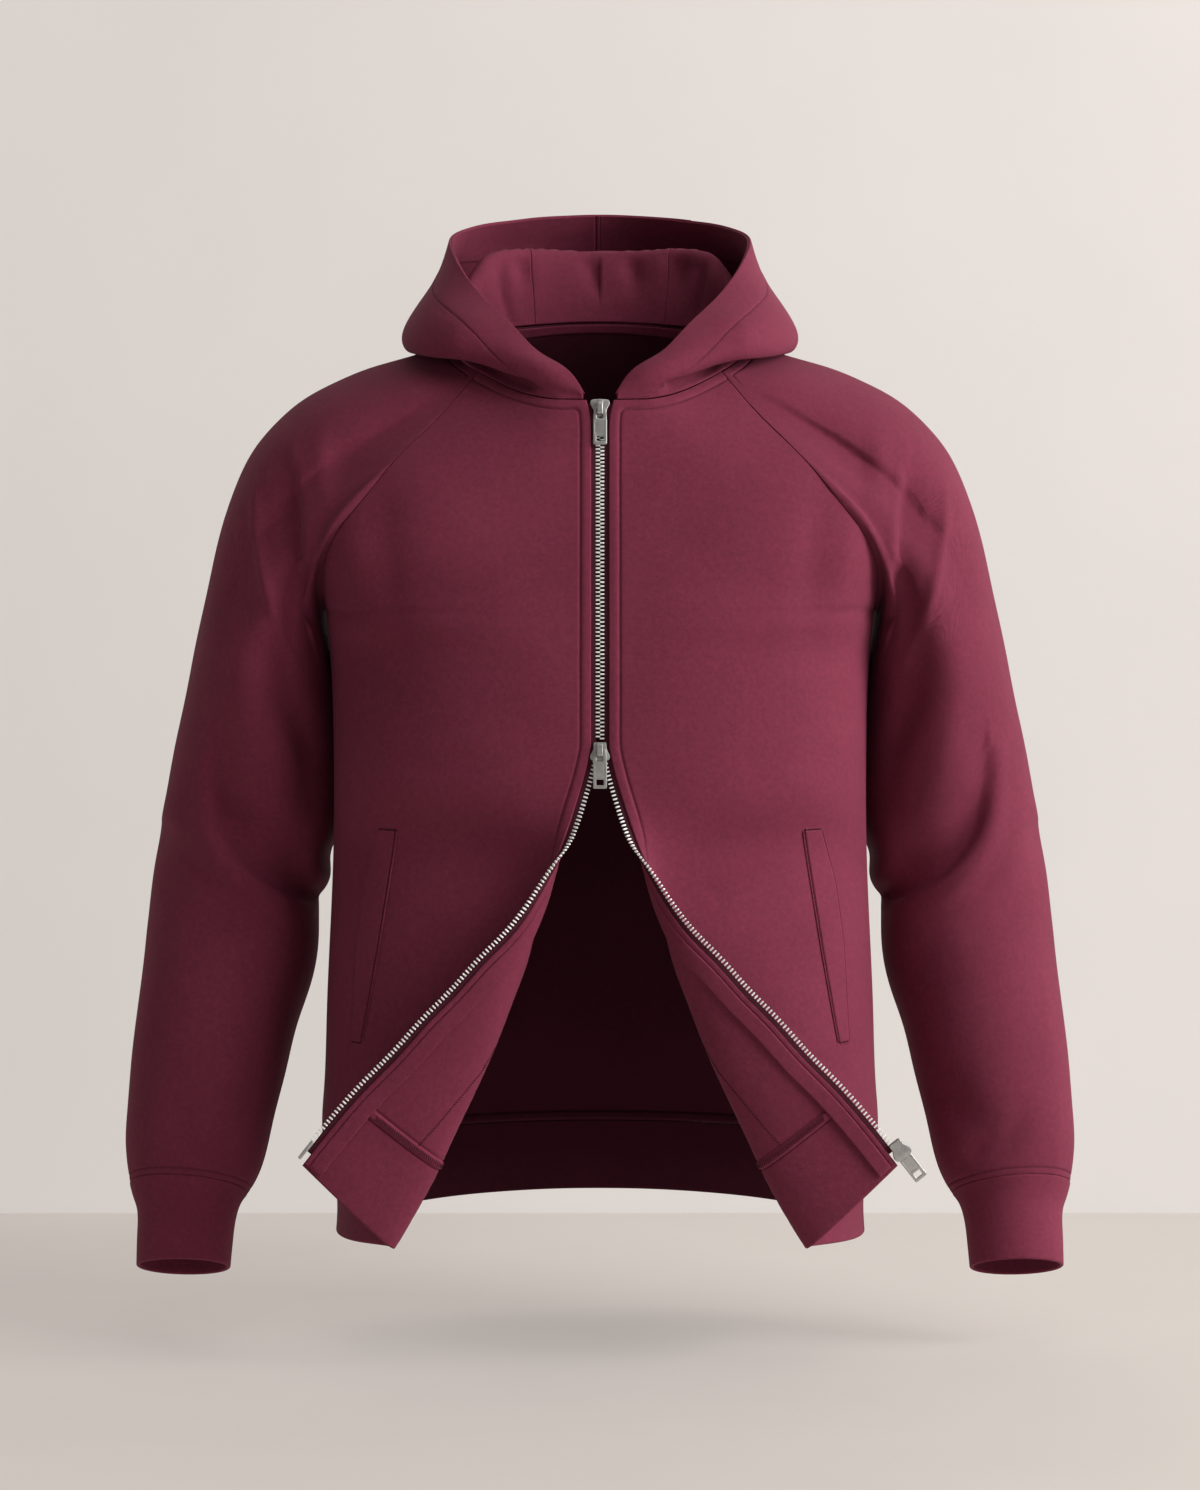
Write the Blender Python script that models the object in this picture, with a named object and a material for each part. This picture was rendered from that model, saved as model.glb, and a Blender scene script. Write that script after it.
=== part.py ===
"""A zip-up hoodie in heavy double-knit fleece, filled out as it is when worn, with no wearer.

It is cut as two fronts, one back, two raglan sleeves, a three-panel hood with a faced rim, cuffs and a
hem band. A two-way zip closes the upper front, and below its lower slider each front is rolled outwards.
Run it with: blender --background --python part.py

Frame: +Z up, the front faces -Y, and the wearer's right side is at -X. The origin is the middle of the
neck, level with the tops of the shoulders. Sizes in the tables are in millimetres.
"""

import math

import bmesh
import bpy
import numpy as np

MM = 0.001  # metres in a millimetre

# ---------------------------------------------------------------- driving sizes, in millimetres
CLOTH = 2.0  # thickness of the fleece
TRIM = 3.0  # the cuffs and the hem band are folded double
SEAM_GAP = 0.3  # clear distance between two sewn pieces
PATCH_LIFT = 0.3  # clear distance between a panel and what is sewn on it
FACING_WIDTH = 31.0  # the faced rim of the hood, at its front
FACING_TAPER = 5.0  # how much narrower it is at the centre back
FOLD_BACK = 16.0  # how far back from the zip's edge the strip inside reaches
TAPE_THICK = 0.8
STRIP_THICK = 1.0  # the facings and the binding strips
STRIP_SHORT = 1.5  # how far a binding strip stops short of the zip's edge
HOOD_LIFT = 0.9  # the hood's lowest row above the middle of the neck seam
ZIP_HALF = 6.8  # from the middle of the closed zip to the front's edge
TAPE_HIDDEN = 9.0  # how far the zip tape runs back under the front's edge
TAPE_SHOWN = 2.7  # how far it stands out past the front's edge, up to the teeth
CHAIN_WIDTH = 3.3  # one side's row of teeth, across
CHAIN_THICK = 2.4
SLIDER_LENGTH = 14.0
SLIDER_NARROW = 9.8
SLIDER_WIDE = 15.2
PLATE = 1.2  # thickness of a slider's plates
PLATE_GAP = 3.0  # room between them for the chain
BAIL_WIDTH = 4.4
BAIL_RISE = 3.8
PULL_WIDTH = 10.5
PULL_LENGTH = 30.0
PULL_THICK = 1.5
PULL_BAR = 1.6  # the bar of the pull tab that turns under the bail

# ---------------------------------------------------------------- levels down the body
# A level is a row of the cloth, counted in millimetres down the zip's edge from the neck seam.
UNDERARM = 168
BAND_SEAM = 598
HEM = 657


def table(names, *lines):
    """Columns by name from rows of numbers."""
    columns = np.array(lines, float).T
    return dict(zip(names.split(), columns))


# The seam that bounds the body at the side: the front raglan seam down to the underarm, then the side seam.
FRONT_EDGE = table(
    "level    x     y     z",
    (0, -95, -58, -20),
    (34, -122, -76, -54),
    (62, -149, -92, -83),
    (88, -173, -101, -111),
    (114, -196, -98, -141),
    (128, -208, -87, -158),
    (142, -216, -66, -176),
    (155, -219, -31, -194),
    (168, -219, 8, -204),
)
BACK_EDGE = table(
    "level    x     y     z",
    (0, -88, 62, 29),
    (34, -112, 88, -14),
    (62, -140, 107, -50),
    (88, -166, 117, -86),
    (114, -191, 117, -122),
    (128, -205, 105, -147),
    (142, -215, 80, -171),
    (155, -219, 44, -192),
    (168, -219, 8, -204),
)
SIDE_SEAM = table(
    "level    x     y     z",
    (168, -219, 8, -204),
    (214, -214, 1, -258),
    (266, -212, -7, -312),
    (322, -211.5, -12, -366),
    (398, -213, -13, -440),
    (480, -217, -12, -520),
    (546, -219.3, -10, -584),
    (598, -218, -9, -635),
    (620, -210.5, -9, -658),
    (657, -209, -9, -697),
)
# How each row leaves that seam: lead is the angle from straight across (0) to straight forward (90),
# reach its strength and dip its fall. Then the fold, where a front turns outwards, with the angle it has
# turned by there, and the edge that carries the zip.
FRONT_ROWS = table(
    "level lead reach dip  fold_x fold_y fold_z turned ease roll edge_x edge_y edge_z",
    (0, 28, 24, -0.55, -28, -97, -46, 0, 26, 0, -10.5, -98.3, -46.5),
    (14, 29, 28, -0.50, -28, -101, -60, 0, 32, 0, -7.5, -101.8, -60.3),
    (34, 30, 36, -0.35, -28, -106, -80, 0, 42, 0, -6.9, -106.8, -80),
    (62, 25, 42, -0.30, -28, -113, -108, 0, 55, 0, -6.8, -113.6, -108),
    (88, 21, 48, -0.25, -28, -119, -134, 0, 66, 0, -6.8, -119.5, -134),
    (114, 30, 46, -0.20, -28, -124.5, -160, 0, 82, 0, -6.8, -125, -160),
    (128, 46, 44, -0.18, -28, -127, -174, 0, 95, 0, -6.8, -127.4, -174),
    (142, 66, 51, -0.14, -28, -129, -188, 0, 104, 0, -6.8, -129.4, -188),
    (155, 84, 80, -0.08, -28, -130.4, -201, 0, 110, 0, -6.8, -130.7, -201),
    (168, 90, 119.5, -0.03, -28, -131.5, -214, 0, 112, 0, -6.8, -131.8, -214),
    (190, 90, 105, -0.01, -28, -132.7, -236, 0, 112, 0, -6.8, -133, -236),
    (214, 90, 96, 0, -28, -133.5, -260, 0, 112, 0, -6.8, -133.7, -260),
    (266, 90, 93, 0, -28, -134.5, -312, 0, 112, 0, -6.8, -134.8, -312),
    (282, 90, 93, 0, -31, -135, -328, 2, 106, 0.5, -10, -135.8, -328),
    (322, 90, 97, 0, -40, -135, -369, 14, 78, 3, -23, -141, -370),
    (347, 90, 102, 0, -41, -136, -396, 42, 42, 5, -32.4, -149.5, -393.5),
    (373, 90, 114, 0, -42.5, -140, -422, 72, 28, 7, -43.6, -159.5, -416),
    (398, 90, 121, 0, -50, -145, -450, 86, 23, 9, -56, -165.5, -438.5),
    (421, 90, 125, 0, -56, -147, -474, 90, 22, 10, -68.3, -168, -455.5),
    (450, 90, 127, 0, -66.3, -149, -502, 90, 22, 11, -86.8, -169, -475),
    (480, 90, 127, 0, -77, -150, -529, 90, 21, 11, -106.8, -168.5, -497.5),
    (512, 90, 125, 0, -88, -150, -556, 90, 20, 11, -128.4, -168, -519.5),
    (546, 90, 120, 0, -101, -150, -585, 90, 20, 11, -150.2, -167, -544),
    (579, 90, 112, 0, -114.5, -150, -613, 90, 20, 11, -172.9, -166, -567),
    (598, 90, 104, 0, -122.6, -150, -631, 90, 20, 11, -185.4, -166, -580.5),
    (657, 90, 84, 0, -156.5, -150, -690, 90, 20, 11, -222.3, -166, -626),
)
# The back's rows, from the same seam to the centre back.
BACK_ROWS = table(
    "level lead reach dip  centre_y centre_z ease",
    (0, 30, 28, 0.12, 88, 37.5, 42),
    (34, 28, 36, 0.20, 104, 2, 52),
    (62, 25, 46, 0.14, 120, -39, 64),
    (88, 23, 52, 0.08, 132, -78, 76),
    (114, 31, 50, 0.04, 141, -117, 92),
    (128, 46, 46, 0, 144.5, -145, 105),
    (142, 66, 55, 0, 147, -172, 114),
    (155, 82, 82, 0, 148, -195, 120),
    (168, 90, 110, 0, 148, -210, 124),
    (190, 90, 104, 0, 147.2, -232, 124),
    (214, 90, 99, 0, 146, -258, 124),
    (266, 90, 104, 0, 142.5, -312, 124),
    (322, 90, 106, 0, 140.5, -366, 124),
    (398, 90, 106, 0, 140.5, -440, 124),
    (480, 90, 106, 0, 143, -520, 124),
    (546, 90, 106, 0, 146, -584, 124),
    (598, 90, 106, 0, 146, -629, 122),
    (620, 90, 102, 0, 143, -650, 120),
    (657, 90, 102, 0, 142, -686.5, 120),
)
# The neckline over each shoulder, between the front and back raglan seams.
NECK_SIDE = table(
    "share    x     y    z",
    (0.0, -95, -58, -20),
    (0.25, -110, -32, -7),
    (0.5, -114, 4, 8),
    (0.75, -106, 36, 20),
    (1.0, -88, 62, 29),
)
# A sleeve's rings, down the arm: centre, half width across the view and half depth.
SLEEVE_RINGS = table(
    "ring     x     y     z   wide  deep",
    (1.0, -272.0, 30, -262, 59.9, 86),
    (2.0, -277.3, 37, -322, 67.8, 79),
    (3.0, -282.1, 42, -372, 72.7, 74),
    (3.35, -284.9, 42, -389, 73.0, 73),
    (4.0, -293.8, 40, -420, 68.8, 71),
    (5.0, -297.6, 33, -468, 69.2, 68),
    (6.0, -305.4, 21, -517, 65.4, 65),
    (7.0, -313.2, 6, -564, 61.9, 60),
    (8.0, -318.9, -9, -609, 57.9, 54),
    (8.7, -322.5, -19, -640, 54.0, 49),
    (9.2, -325.3, -27, -662, 46.5, 41),
    (9.6, -325.6, -33, -676, 40.0, 34.5),
    (10.2, -326.2, -42, -698, 37.2, 31.5),
    (10.8, -326.5, -51, -721, 36.2, 30.5),
)
# How the sleeve's head leaves its seam: shares of the chord, except under, which is in millimetres.
HEAD = {"aside": 0.12, "crease": 1.5, "from": 0.0, "span": 0.95, "reach": 0.28, "crown": 0.26, "under": 10.0}
SLEEVE_SEAM = 9.2  # the ring where the cuff is sewn on
SLEEVE_END = 10.8
# The sleeves' largest folds: from one place on the tube to another, as ring and degrees round from the
# inner side by way of the front. A depth below 0 is a ridge.
SLEEVE_FOLDS = table(
    "ring_a round_a ring_b round_b width depth",
    (0.45, 72, 2.3, 40, 15, 6.0),
    (0.55, 100, 2.6, 72, 15, -4.0),
    (2.4, 120, 3.9, 25, 17, 6.5),
    (3.0, 150, 4.4, 40, 18, -4.5),
    (3.9, -30, 4.05, 30, 12, 7.0),
    (3.9, 150, 5.0, 95, 18, 3.5),
    (2.6, -95, 4.0, -25, 17, 5.5),
    (3.2, -150, 4.4, -60, 18, -4.0),
    (7.2, 10, 8.3, 70, 18, 4.0),
    (7.6, -20, 8.4, -80, 18, 3.5),
)
# The hood's stations round the neck, from the zip to the centre back. Each section rises from the neck
# seam over a ridge, falls to the lowest turn of the bag, and climbs its outer side to the rim. Out is
# measured level, in the direction facing gives (0 is the wearer's right, -90 forward, 90 backward). The last
# station mirrors the one before the centre, so that the hood runs smoothly across it.
HOOD = table(
    "share facing ridge_out ridge_up fall_out fall_up turn_out turn_up swell_out swell_up rise_out rise_up"
    " rim_x  rim_y  rim_z",
    (0.00, -80, 0.1, 0.5, 0.2, 0.9, 0.3, 1.3, 0.4, 1.6, 0.4, 1.9, -9.8, -98.6, -45.0),
    (0.06, -78, 0.4, 4, 1.2, 6.5, 2.4, 9, 3.4, 13, 3.4, 18, -23, -97, -24.5),
    (0.13, -75, 0.5, 4, 2, 7, 4.5, 10, 7, 16, 7, 25, -42, -90, -11),
    (0.26, -52, 0.5, 8, 6, 9.5, 14, 10, 19, 17, 15, 32, -68, -72, 15),
    (0.38, -25, 0.5, 13, 15, 6, 29, 2, 34, 11, 25, 36, -94, -46, 43),
    (0.50, 3, 1.5, 15, 21, 5, 38, -4, 44, 5, 26, 40, -116, -8, 77),
    (0.60, 20, 3.0, 29, 24, 13, 44, -12, 53, 3, 31, 42, -122, 34, 99),
    (0.70, 42, 5.0, 56, 25, 27, 53, -32, 70, -4, 46, 58, -112, 76, 114),
    (0.82, 66, 12.0, 64, 26, 34, 64, -72, 92, -14, 76, 64, -82, 118, 127),
    (0.90, 80, 15.0, 62, 29, 32, 72, -104, 102, -28, 90, 62, -49, 138, 134),
    (0.95, 85, 15.7, 61, 30.3, 30.5, 76, -118.5, 106, -35, 93.2, 60.4, -25, 147.2, 137.1),
    (1.00, 90, 16.0, 60.5, 31, 30, 78, -124, 108, -38, 94, 60, 0, 150, 138),
    (1.05, 95, 15.7, 61, 30.3, 30.5, 76, -118.5, 106, -35, 93.2, 60.4, 25, 147.2, 137.1),
)
HOOD_SEAM = 0.835  # the share round the neck of the hood's panel seams
# The pocket welt on a front: its two long sides, measured across from the middle of the garment.
WELT = table(
    "level  far   near",
    (330, -171.7, -155.0),
    (372, -182.9, -161.0),
    (425, -189.0, -169.2),
    (502, -193.5, -183.0),
)
PLAIN = (0.36, 0.45)  # the shares of the same two columns up on the chest


# ---------------------------------------------------------------- curves and surfaces
def spline(stations, values, at):
    """A natural cubic spline through the values, read at each place."""
    stations = np.asarray(stations, float)
    values = np.asarray(values, float)
    flat = values.reshape(len(stations), -1)
    step = np.diff(stations)
    slope = np.diff(flat, axis=0) / step[:, None]
    system = np.eye(len(stations))
    load = np.zeros_like(flat)
    for i in range(1, len(stations) - 1):
        system[i, i - 1] = step[i - 1]
        system[i, i] = 2 * (step[i - 1] + step[i])
        system[i, i + 1] = step[i]
        load[i] = 6 * (slope[i] - slope[i - 1])
    bend = np.linalg.solve(system, load)
    at = np.atleast_1d(np.asarray(at, float))
    i = np.clip(np.searchsorted(stations, at, side="right") - 1, 0, len(step) - 1)
    ahead = (at - stations[i])[:, None]
    left = (stations[i + 1] - at)[:, None]
    h = step[i][:, None]
    read = (
        bend[i] * left**3 / (6 * h)
        + bend[i + 1] * ahead**3 / (6 * h)
        + (flat[i] / h - bend[i] * h / 6) * left
        + (flat[i + 1] / h - bend[i + 1] * h / 6) * ahead
    )
    return read.reshape((len(at),) + values.shape[1:])


def read(source, key, names, at):
    """The named columns of a table, splined and read at each place, as points or numbers."""
    names = names.split()
    values = np.stack([source[name] for name in names], axis=1)
    found = spline(source[key], values, at)
    return found if len(names) > 1 else found[:, 0]


def bezier(a, b, c, d, s):
    """Cubic Bezier points: a to d have a row each, s holds the places along every row or along each one."""
    s = np.atleast_2d(np.asarray(s, float))[:, :, None]
    a, b, c, d = (p[:, None, :] for p in (a, b, c, d))
    return (1 - s) ** 3 * a + 3 * (1 - s) ** 2 * s * b + 3 * (1 - s) * s**2 * c + s**3 * d


def smooth(t):
    """A share that eases in and out between 0 and 1."""
    t = np.clip(t, 0, 1)
    return t * t * (3 - 2 * t)


def unit(v):
    return v / np.maximum(np.linalg.norm(v, axis=-1, keepdims=True), 1e-9)


def normals(grid, wrap=False):
    """The unit normals of a grid of points. wrap joins the last column to the first."""
    down = np.gradient(grid, axis=0)
    if wrap:
        across = np.roll(grid, -1, axis=1) - np.roll(grid, 1, axis=1)
    else:
        across = np.gradient(grid, axis=1)
    return unit(np.cross(down, across))


FLIP = np.array([-1.0, 1.0, 1.0])  # from the wearer's right side to the left


# ---------------------------------------------------------------- the body
def edge_points(raglan, levels):
    """Points of the seam that bounds a front or the back at the side."""
    levels = np.atleast_1d(np.asarray(levels, float))
    above = read(raglan, "level", "x y z", np.minimum(levels, UNDERARM))
    below = read(SIDE_SEAM, "level", "x y z", np.maximum(levels, UNDERARM))
    return np.where((levels < UNDERARM)[:, None], above, below)


def front_curves(levels):
    """Each row of a front as two Bezier curves: from the side seam to the fold, and on to the zip's edge."""
    start = edge_points(FRONT_EDGE, levels)
    lead, reach, dip = read(FRONT_ROWS, "level", "lead reach dip", levels).T
    turned, ease, roll = read(FRONT_ROWS, "level", "turned ease roll", levels).T
    fold = read(FRONT_ROWS, "level", "fold_x fold_y fold_z", levels)
    edge = read(FRONT_ROWS, "level", "edge_x edge_y edge_z", levels)
    edge[:, 0] = np.minimum(edge[:, 0], -ZIP_HALF)
    angle = np.radians(lead)
    leave = np.stack([np.cos(angle), -np.sin(angle), dip], axis=1) * reach[:, None]
    angle = np.radians(np.clip(turned, 0, 90))
    along = np.stack([np.cos(angle), -np.sin(angle), 0 * angle], axis=1)
    span = np.linalg.norm(edge - fold, axis=1)
    over = fold + along * np.maximum(1.35 * roll, 0.33 * span * np.cos(angle))[:, None]
    bulge = fold + along * (1.8 * roll)[:, None]
    arrive = edge + (bulge - edge) * 0.4
    return (start, start + leave, fold - along * ease[:, None], fold), (fold, over, arrive, edge)


def front_grid(levels, body_shares, flap_shares=None):
    """The wearer's right front, from the side seam to the fold and then to the zip, if that is asked for."""
    body, flap = front_curves(np.atleast_1d(np.asarray(levels, float)))
    grid = bezier(*body, body_shares)
    if flap_shares is not None:
        grid = np.concatenate([grid, bezier(*flap, flap_shares)], axis=1)
    return grid


def shares_from_edge(levels, distances):
    """Where on each row's flap curve a point lies that many millimetres back from the zip's edge."""
    fine = np.linspace(1, 0, 81)
    flap = bezier(*front_curves(levels)[1], fine)
    run = np.cumsum(np.linalg.norm(np.diff(flap, axis=1), axis=2), axis=1)
    run = np.concatenate([np.zeros((len(run), 1)), run], axis=1)
    return np.stack([np.interp(distances, row, fine) for row in run])


def edge_frames(levels):
    """Frames along the right front's zip edge: a point, the way down, away from the cloth, and outwards."""
    levels = np.atleast_1d(np.asarray(levels, float))
    step = 1.0
    at = np.concatenate([levels - step, levels, levels + step])
    at = np.clip(at, 0, HEM)
    shares = shares_from_edge(at, [4.0, 0.0])
    ends = bezier(*front_curves(at)[1], shares)
    count = len(levels)
    down = unit(ends[2 * count :, 1] - ends[:count, 1])
    away = unit(ends[count : 2 * count, 1] - ends[count : 2 * count, 0])
    away = unit(away - (away * down).sum(axis=1, keepdims=True) * down)
    return ends[count : 2 * count, 1], down, away, unit(np.cross(down, away))


def welt_shares(levels):
    """The shares of the two columns that the pocket welt's sides lie on."""
    fine = np.linspace(0, 1, 161)
    top, foot = WELT["level"][0], WELT["level"][-1]
    held = np.clip(levels, top, foot)
    rows = front_grid(held, fine)[:, :, 0]
    blend = np.clip((levels - 200.0) / (top - 200.0), 0, 1)
    found = []
    for side, plain in zip(("far", "near"), PLAIN):
        place = np.interp(held, WELT["level"], WELT[side])
        on = np.array([np.interp(x, row, fine) for x, row in zip(place, rows)])
        found.append(plain + (on - plain) * blend)
    return found


def front_shares(levels, body_steps, flap_steps):
    """The columns of a front. Two follow the pocket welt's sides and three the zip's edge and its strips."""
    levels = np.atleast_1d(np.asarray(levels, float))
    far, near = welt_shares(levels)
    body = []
    # Below 0.5 a step lies between the side seam and the welt, above it past the welt.
    for step in body_steps:
        body.append(2 * step * far if step < 0.5 else near + (2 * step - 1) * (1 - near))
    body = np.stack(body, axis=1)
    strip = shares_from_edge(levels, [FOLD_BACK, TAPE_HIDDEN, 0.0])
    flap = np.asarray(flap_steps)[None, :] * strip[:, :1]
    return body, np.concatenate([flap, strip], axis=1)


def back_grid(levels, shares):
    """The right half of the back. A share runs from 0 at the side seam to 1 at the centre back."""
    levels = np.atleast_1d(np.asarray(levels, float))
    start = edge_points(BACK_EDGE, levels)
    lead, reach, dip = read(BACK_ROWS, "level", "lead reach dip", levels).T
    centre_y, centre_z, ease = read(BACK_ROWS, "level", "centre_y centre_z ease", levels).T
    angle = np.radians(lead)
    leave = np.stack([np.cos(angle), np.sin(angle), dip], axis=1) * reach[:, None]
    centre = np.stack([0 * centre_y, centre_y, centre_z], axis=1)
    across = np.stack([ease, 0 * ease, 0 * ease], axis=1)
    return bezier(start, start + leave, centre - across, centre, shares)


def side_normals(levels, back=False):
    """Which way is out along the seam that bounds a front or the back at the side."""
    grid = (back_grid if back else front_grid)(levels, [0.0, 0.03])
    down = np.gradient(grid[:, 0], axis=0)
    across = grid[:, 1] - grid[:, 0]
    return unit(np.cross(across, down) if back else np.cross(down, across))


# ---------------------------------------------------------------- the sleeves
def armhole(levels, neck_shares):
    """The loop that a sleeve is sewn to, its outward normals, and how far round the sleeve each point is.

    It starts at the underarm, climbs the front raglan seam, crosses the neckline and comes down the back.
    """
    neck_shares = np.asarray(neck_shares, float)
    front_out = side_normals(levels)
    back_out = side_normals(levels, back=True)
    side = read(NECK_SIDE, "share", "x y z", neck_shares)
    tilt = neck_shares[:, None]
    up = np.array([-0.18, 0.0, 0.98])
    side_out = np.where(
        tilt < 0.5,
        front_out[0] + (up - front_out[0]) * (2 * np.minimum(tilt, 0.5)) ** 0.7,
        back_out[0] + (up - back_out[0]) * (2 - 2 * np.maximum(tilt, 0.5)) ** 0.7,
    )
    front = edge_points(FRONT_EDGE, levels)
    back = edge_points(BACK_EDGE, levels)
    loop = np.concatenate([front[::-1], side[1:-1], back[:-1]])
    out = unit(np.concatenate([front_out[::-1], side_out[1:-1], back_out[:-1]]))
    length = np.linalg.norm(np.diff(np.vstack([loop, loop[:1]]), axis=0), axis=1)
    travelled = np.concatenate([[0.0], np.cumsum(length)])
    corner_a = travelled[len(levels) - 1]
    corner_b = travelled[len(levels) + len(neck_shares) - 2]
    round_at = np.interp(
        travelled[:-1], [0, corner_a, corner_b, travelled[-1]], [0, 128, 232, 360]
    )
    return loop, out, round_at


def rings(at, round_at):
    """Rings of a sleeve below its head: each lies square to the path of the ring centres."""
    at = np.atleast_1d(np.asarray(at, float))
    centre = read(SLEEVE_RINGS, "ring", "x y z", at)
    step = 0.05
    ahead = read(SLEEVE_RINGS, "ring", "x y z", np.minimum(at + step, SLEEVE_END))
    behind = read(SLEEVE_RINGS, "ring", "x y z", np.maximum(at - step, 1.0))
    axis = unit(ahead - behind)
    inward = np.cross(axis, np.array([0.0, 1.0, 0.0]))
    inward = unit(inward) * np.sign(inward[:, :1])
    forward = unit(np.cross(axis, inward))
    forward *= -np.sign(forward[:, 1:2])
    wide, deep = read(SLEEVE_RINGS, "ring", "wide deep", at).T
    turn = np.radians(round_at)[None, :, None]
    return (
        centre[:, None]
        + inward[:, None] * wide[:, None, None] * np.cos(turn)
        + forward[:, None] * deep[:, None, None] * np.sin(turn)
    )


def sleeve_grid(at, levels, neck_shares):
    """The right sleeve: below ring 1 from its rings, above it lofted to the armhole."""
    at = np.asarray(at, float)
    loop, out, round_at = armhole(levels, neck_shares)
    first, second = rings([1.0, 1.12], round_at)
    axis = unit(second - first)
    chord = np.linalg.norm(first - loop, axis=1)[:, None]
    cosine = np.cos(np.radians(round_at))
    top = np.clip(-cosine, 0, 1)[:, None]
    under = smooth((cosine - HEAD["from"]) / HEAD["span"])[:, None]
    towards = unit(first - loop)
    flat = unit(towards - (towards * out).sum(axis=1, keepdims=True) * out)
    ahead, behind = np.roll(loop, -1, axis=0), np.roll(loop, 1, axis=0)
    corner = len(levels) - 1
    ahead[corner] = loop[corner]
    corner = len(levels) + len(neck_shares) - 2
    behind[corner] = loop[corner]
    seam_run = unit(ahead - behind)
    aside = unit(np.cross(out, seam_run))
    aside *= np.sign((aside * np.array([-1.0, 0.0, 0.6])).sum(axis=1, keepdims=True))
    leave = unit((flat + aside * (HEAD["aside"] + HEAD["crease"] * under)) * (1 - under) + out * under)
    start = loop + aside * SEAM_GAP + out * under * SEAM_GAP
    start_out = np.cross(leave, seam_run)
    start_out = unit(start_out * np.sign((np.cross(aside, seam_run) * out).sum(axis=1, keepdims=True)))
    leave_reach = chord * (HEAD["reach"] + HEAD["crown"] * top) * (1 - under) + HEAD["under"] * under
    arrive_reach = chord * (0.40 + 0.125 * top)
    head = bezier(start, start + leave * leave_reach, first - axis * arrive_reach, first, at[at < 1])
    head = np.swapaxes(head, 0, 1)
    lower = rings(at[at >= 1], round_at)
    grid = np.concatenate([head, lower], axis=0)
    return folded(grid, at, round_at), start_out, round_at


def folded(grid, at, round_at):
    """The sleeve with its folds pressed in along its normals."""
    out = -normals(grid, wrap=True)
    ring_mm = 48.0
    degree_mm = 1.15
    place = np.stack(np.meshgrid(at * ring_mm, round_at * degree_mm, indexing="ij"), axis=-1)
    whole_turn = 360 * degree_mm
    depth = np.zeros(grid.shape[:2])
    for a, ra, b, rb, width, deep in zip(*(SLEEVE_FOLDS[k] for k in SLEEVE_FOLDS)):
        for shift in (0, whole_turn):
            start = np.array([a * ring_mm, ra * degree_mm + shift])
            end = np.array([b * ring_mm, rb * degree_mm + shift])
            along = end - start
            share = np.clip(((place - start) @ along) / (along @ along), 0, 1)
            away = np.linalg.norm(place - start - share[..., None] * along, axis=-1)
            depth += deep * np.exp(-((away / width) ** 2)) * (0.55 + 0.45 * np.sin(np.pi * share))
    free = np.clip(at / 0.6, 0, 1) * np.clip((SLEEVE_SEAM - at) / 0.5, 0, 1)
    inner = 1 - 0.75 * np.clip(np.cos(np.radians(round_at)) * 3 - 2, 0, 1)
    return grid - out * (depth * free[:, None] * inner[None, :])[..., None]


# ---------------------------------------------------------------- the hood
def neckline(columns):
    """The neck seam's right half from the zip to the centre back, and each point's share of its length."""
    front, side, back = columns
    points = np.concatenate([front[::-1], side[1:-1], back])
    travelled = np.concatenate([[0], np.cumsum(np.linalg.norm(np.diff(points, axis=0), axis=1))])
    return points, travelled / travelled[-1]


def along(points, travelled, shares):
    """Points at the given shares of a polyline's length."""
    return np.stack([np.interp(shares, travelled, points[:, k]) for k in range(3)], axis=1)


def hood_knots(seam, shares):
    """The knots of the hood's sections: a row for each knot, a column for each point of the neck seam."""
    facing = np.radians(read(HOOD, "share", "facing", shares))
    out = np.stack([-np.cos(facing), np.sin(facing), 0 * facing], axis=1)
    up = np.array([0.0, 0.0, 1.0])
    knots = [seam]
    for name in ("ridge", "fall", "turn", "swell", "rise"):
        level, lift = read(HOOD, "share", f"{name}_out {name}_up", shares).T
        knots.append(seam + out * level[:, None] + up * lift[:, None])
    knots.append(read(HOOD, "share", "rim_x rim_y rim_z", shares))
    return np.stack(knots)


def hood_grid(seam, shares, below, above):
    """The right half of the hood, a column for each point of the neck seam, rows from the seam to the rim.

    The rows below the facing are counted in knots from the seam, those on it in shares of its width.
    """
    columns = []
    widths = FACING_WIDTH - FACING_TAPER * smooth(2 * np.asarray(shares) - 1)
    for column, width in zip(np.swapaxes(hood_knots(seam, shares), 0, 1), widths):
        gaps = np.linalg.norm(np.diff(column, axis=0), axis=1) ** 0.7
        stations = np.concatenate([[0], np.cumsum(gaps)]) / gaps.sum()
        fine_at = np.linspace(0, 1, 161)
        fine = spline(stations, column, fine_at)
        run = np.concatenate([[0], np.cumsum(np.linalg.norm(np.diff(fine, axis=0), axis=1))])
        start = max(run[-1] - width, 0.12 * run[-1])
        knots = np.interp(stations, fine_at, run)
        facing_knot = np.interp(start, knots, np.arange(len(knots)))
        low = np.asarray(below) * min(1.0, facing_knot / 5.0)
        bag = np.interp(low, np.arange(len(knots)), knots)
        at = np.concatenate([bag, start + np.asarray(above) * (run[-1] - start)])
        columns.append(along(fine, run, at))
    return np.swapaxes(np.array(columns), 0, 1)


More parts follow.
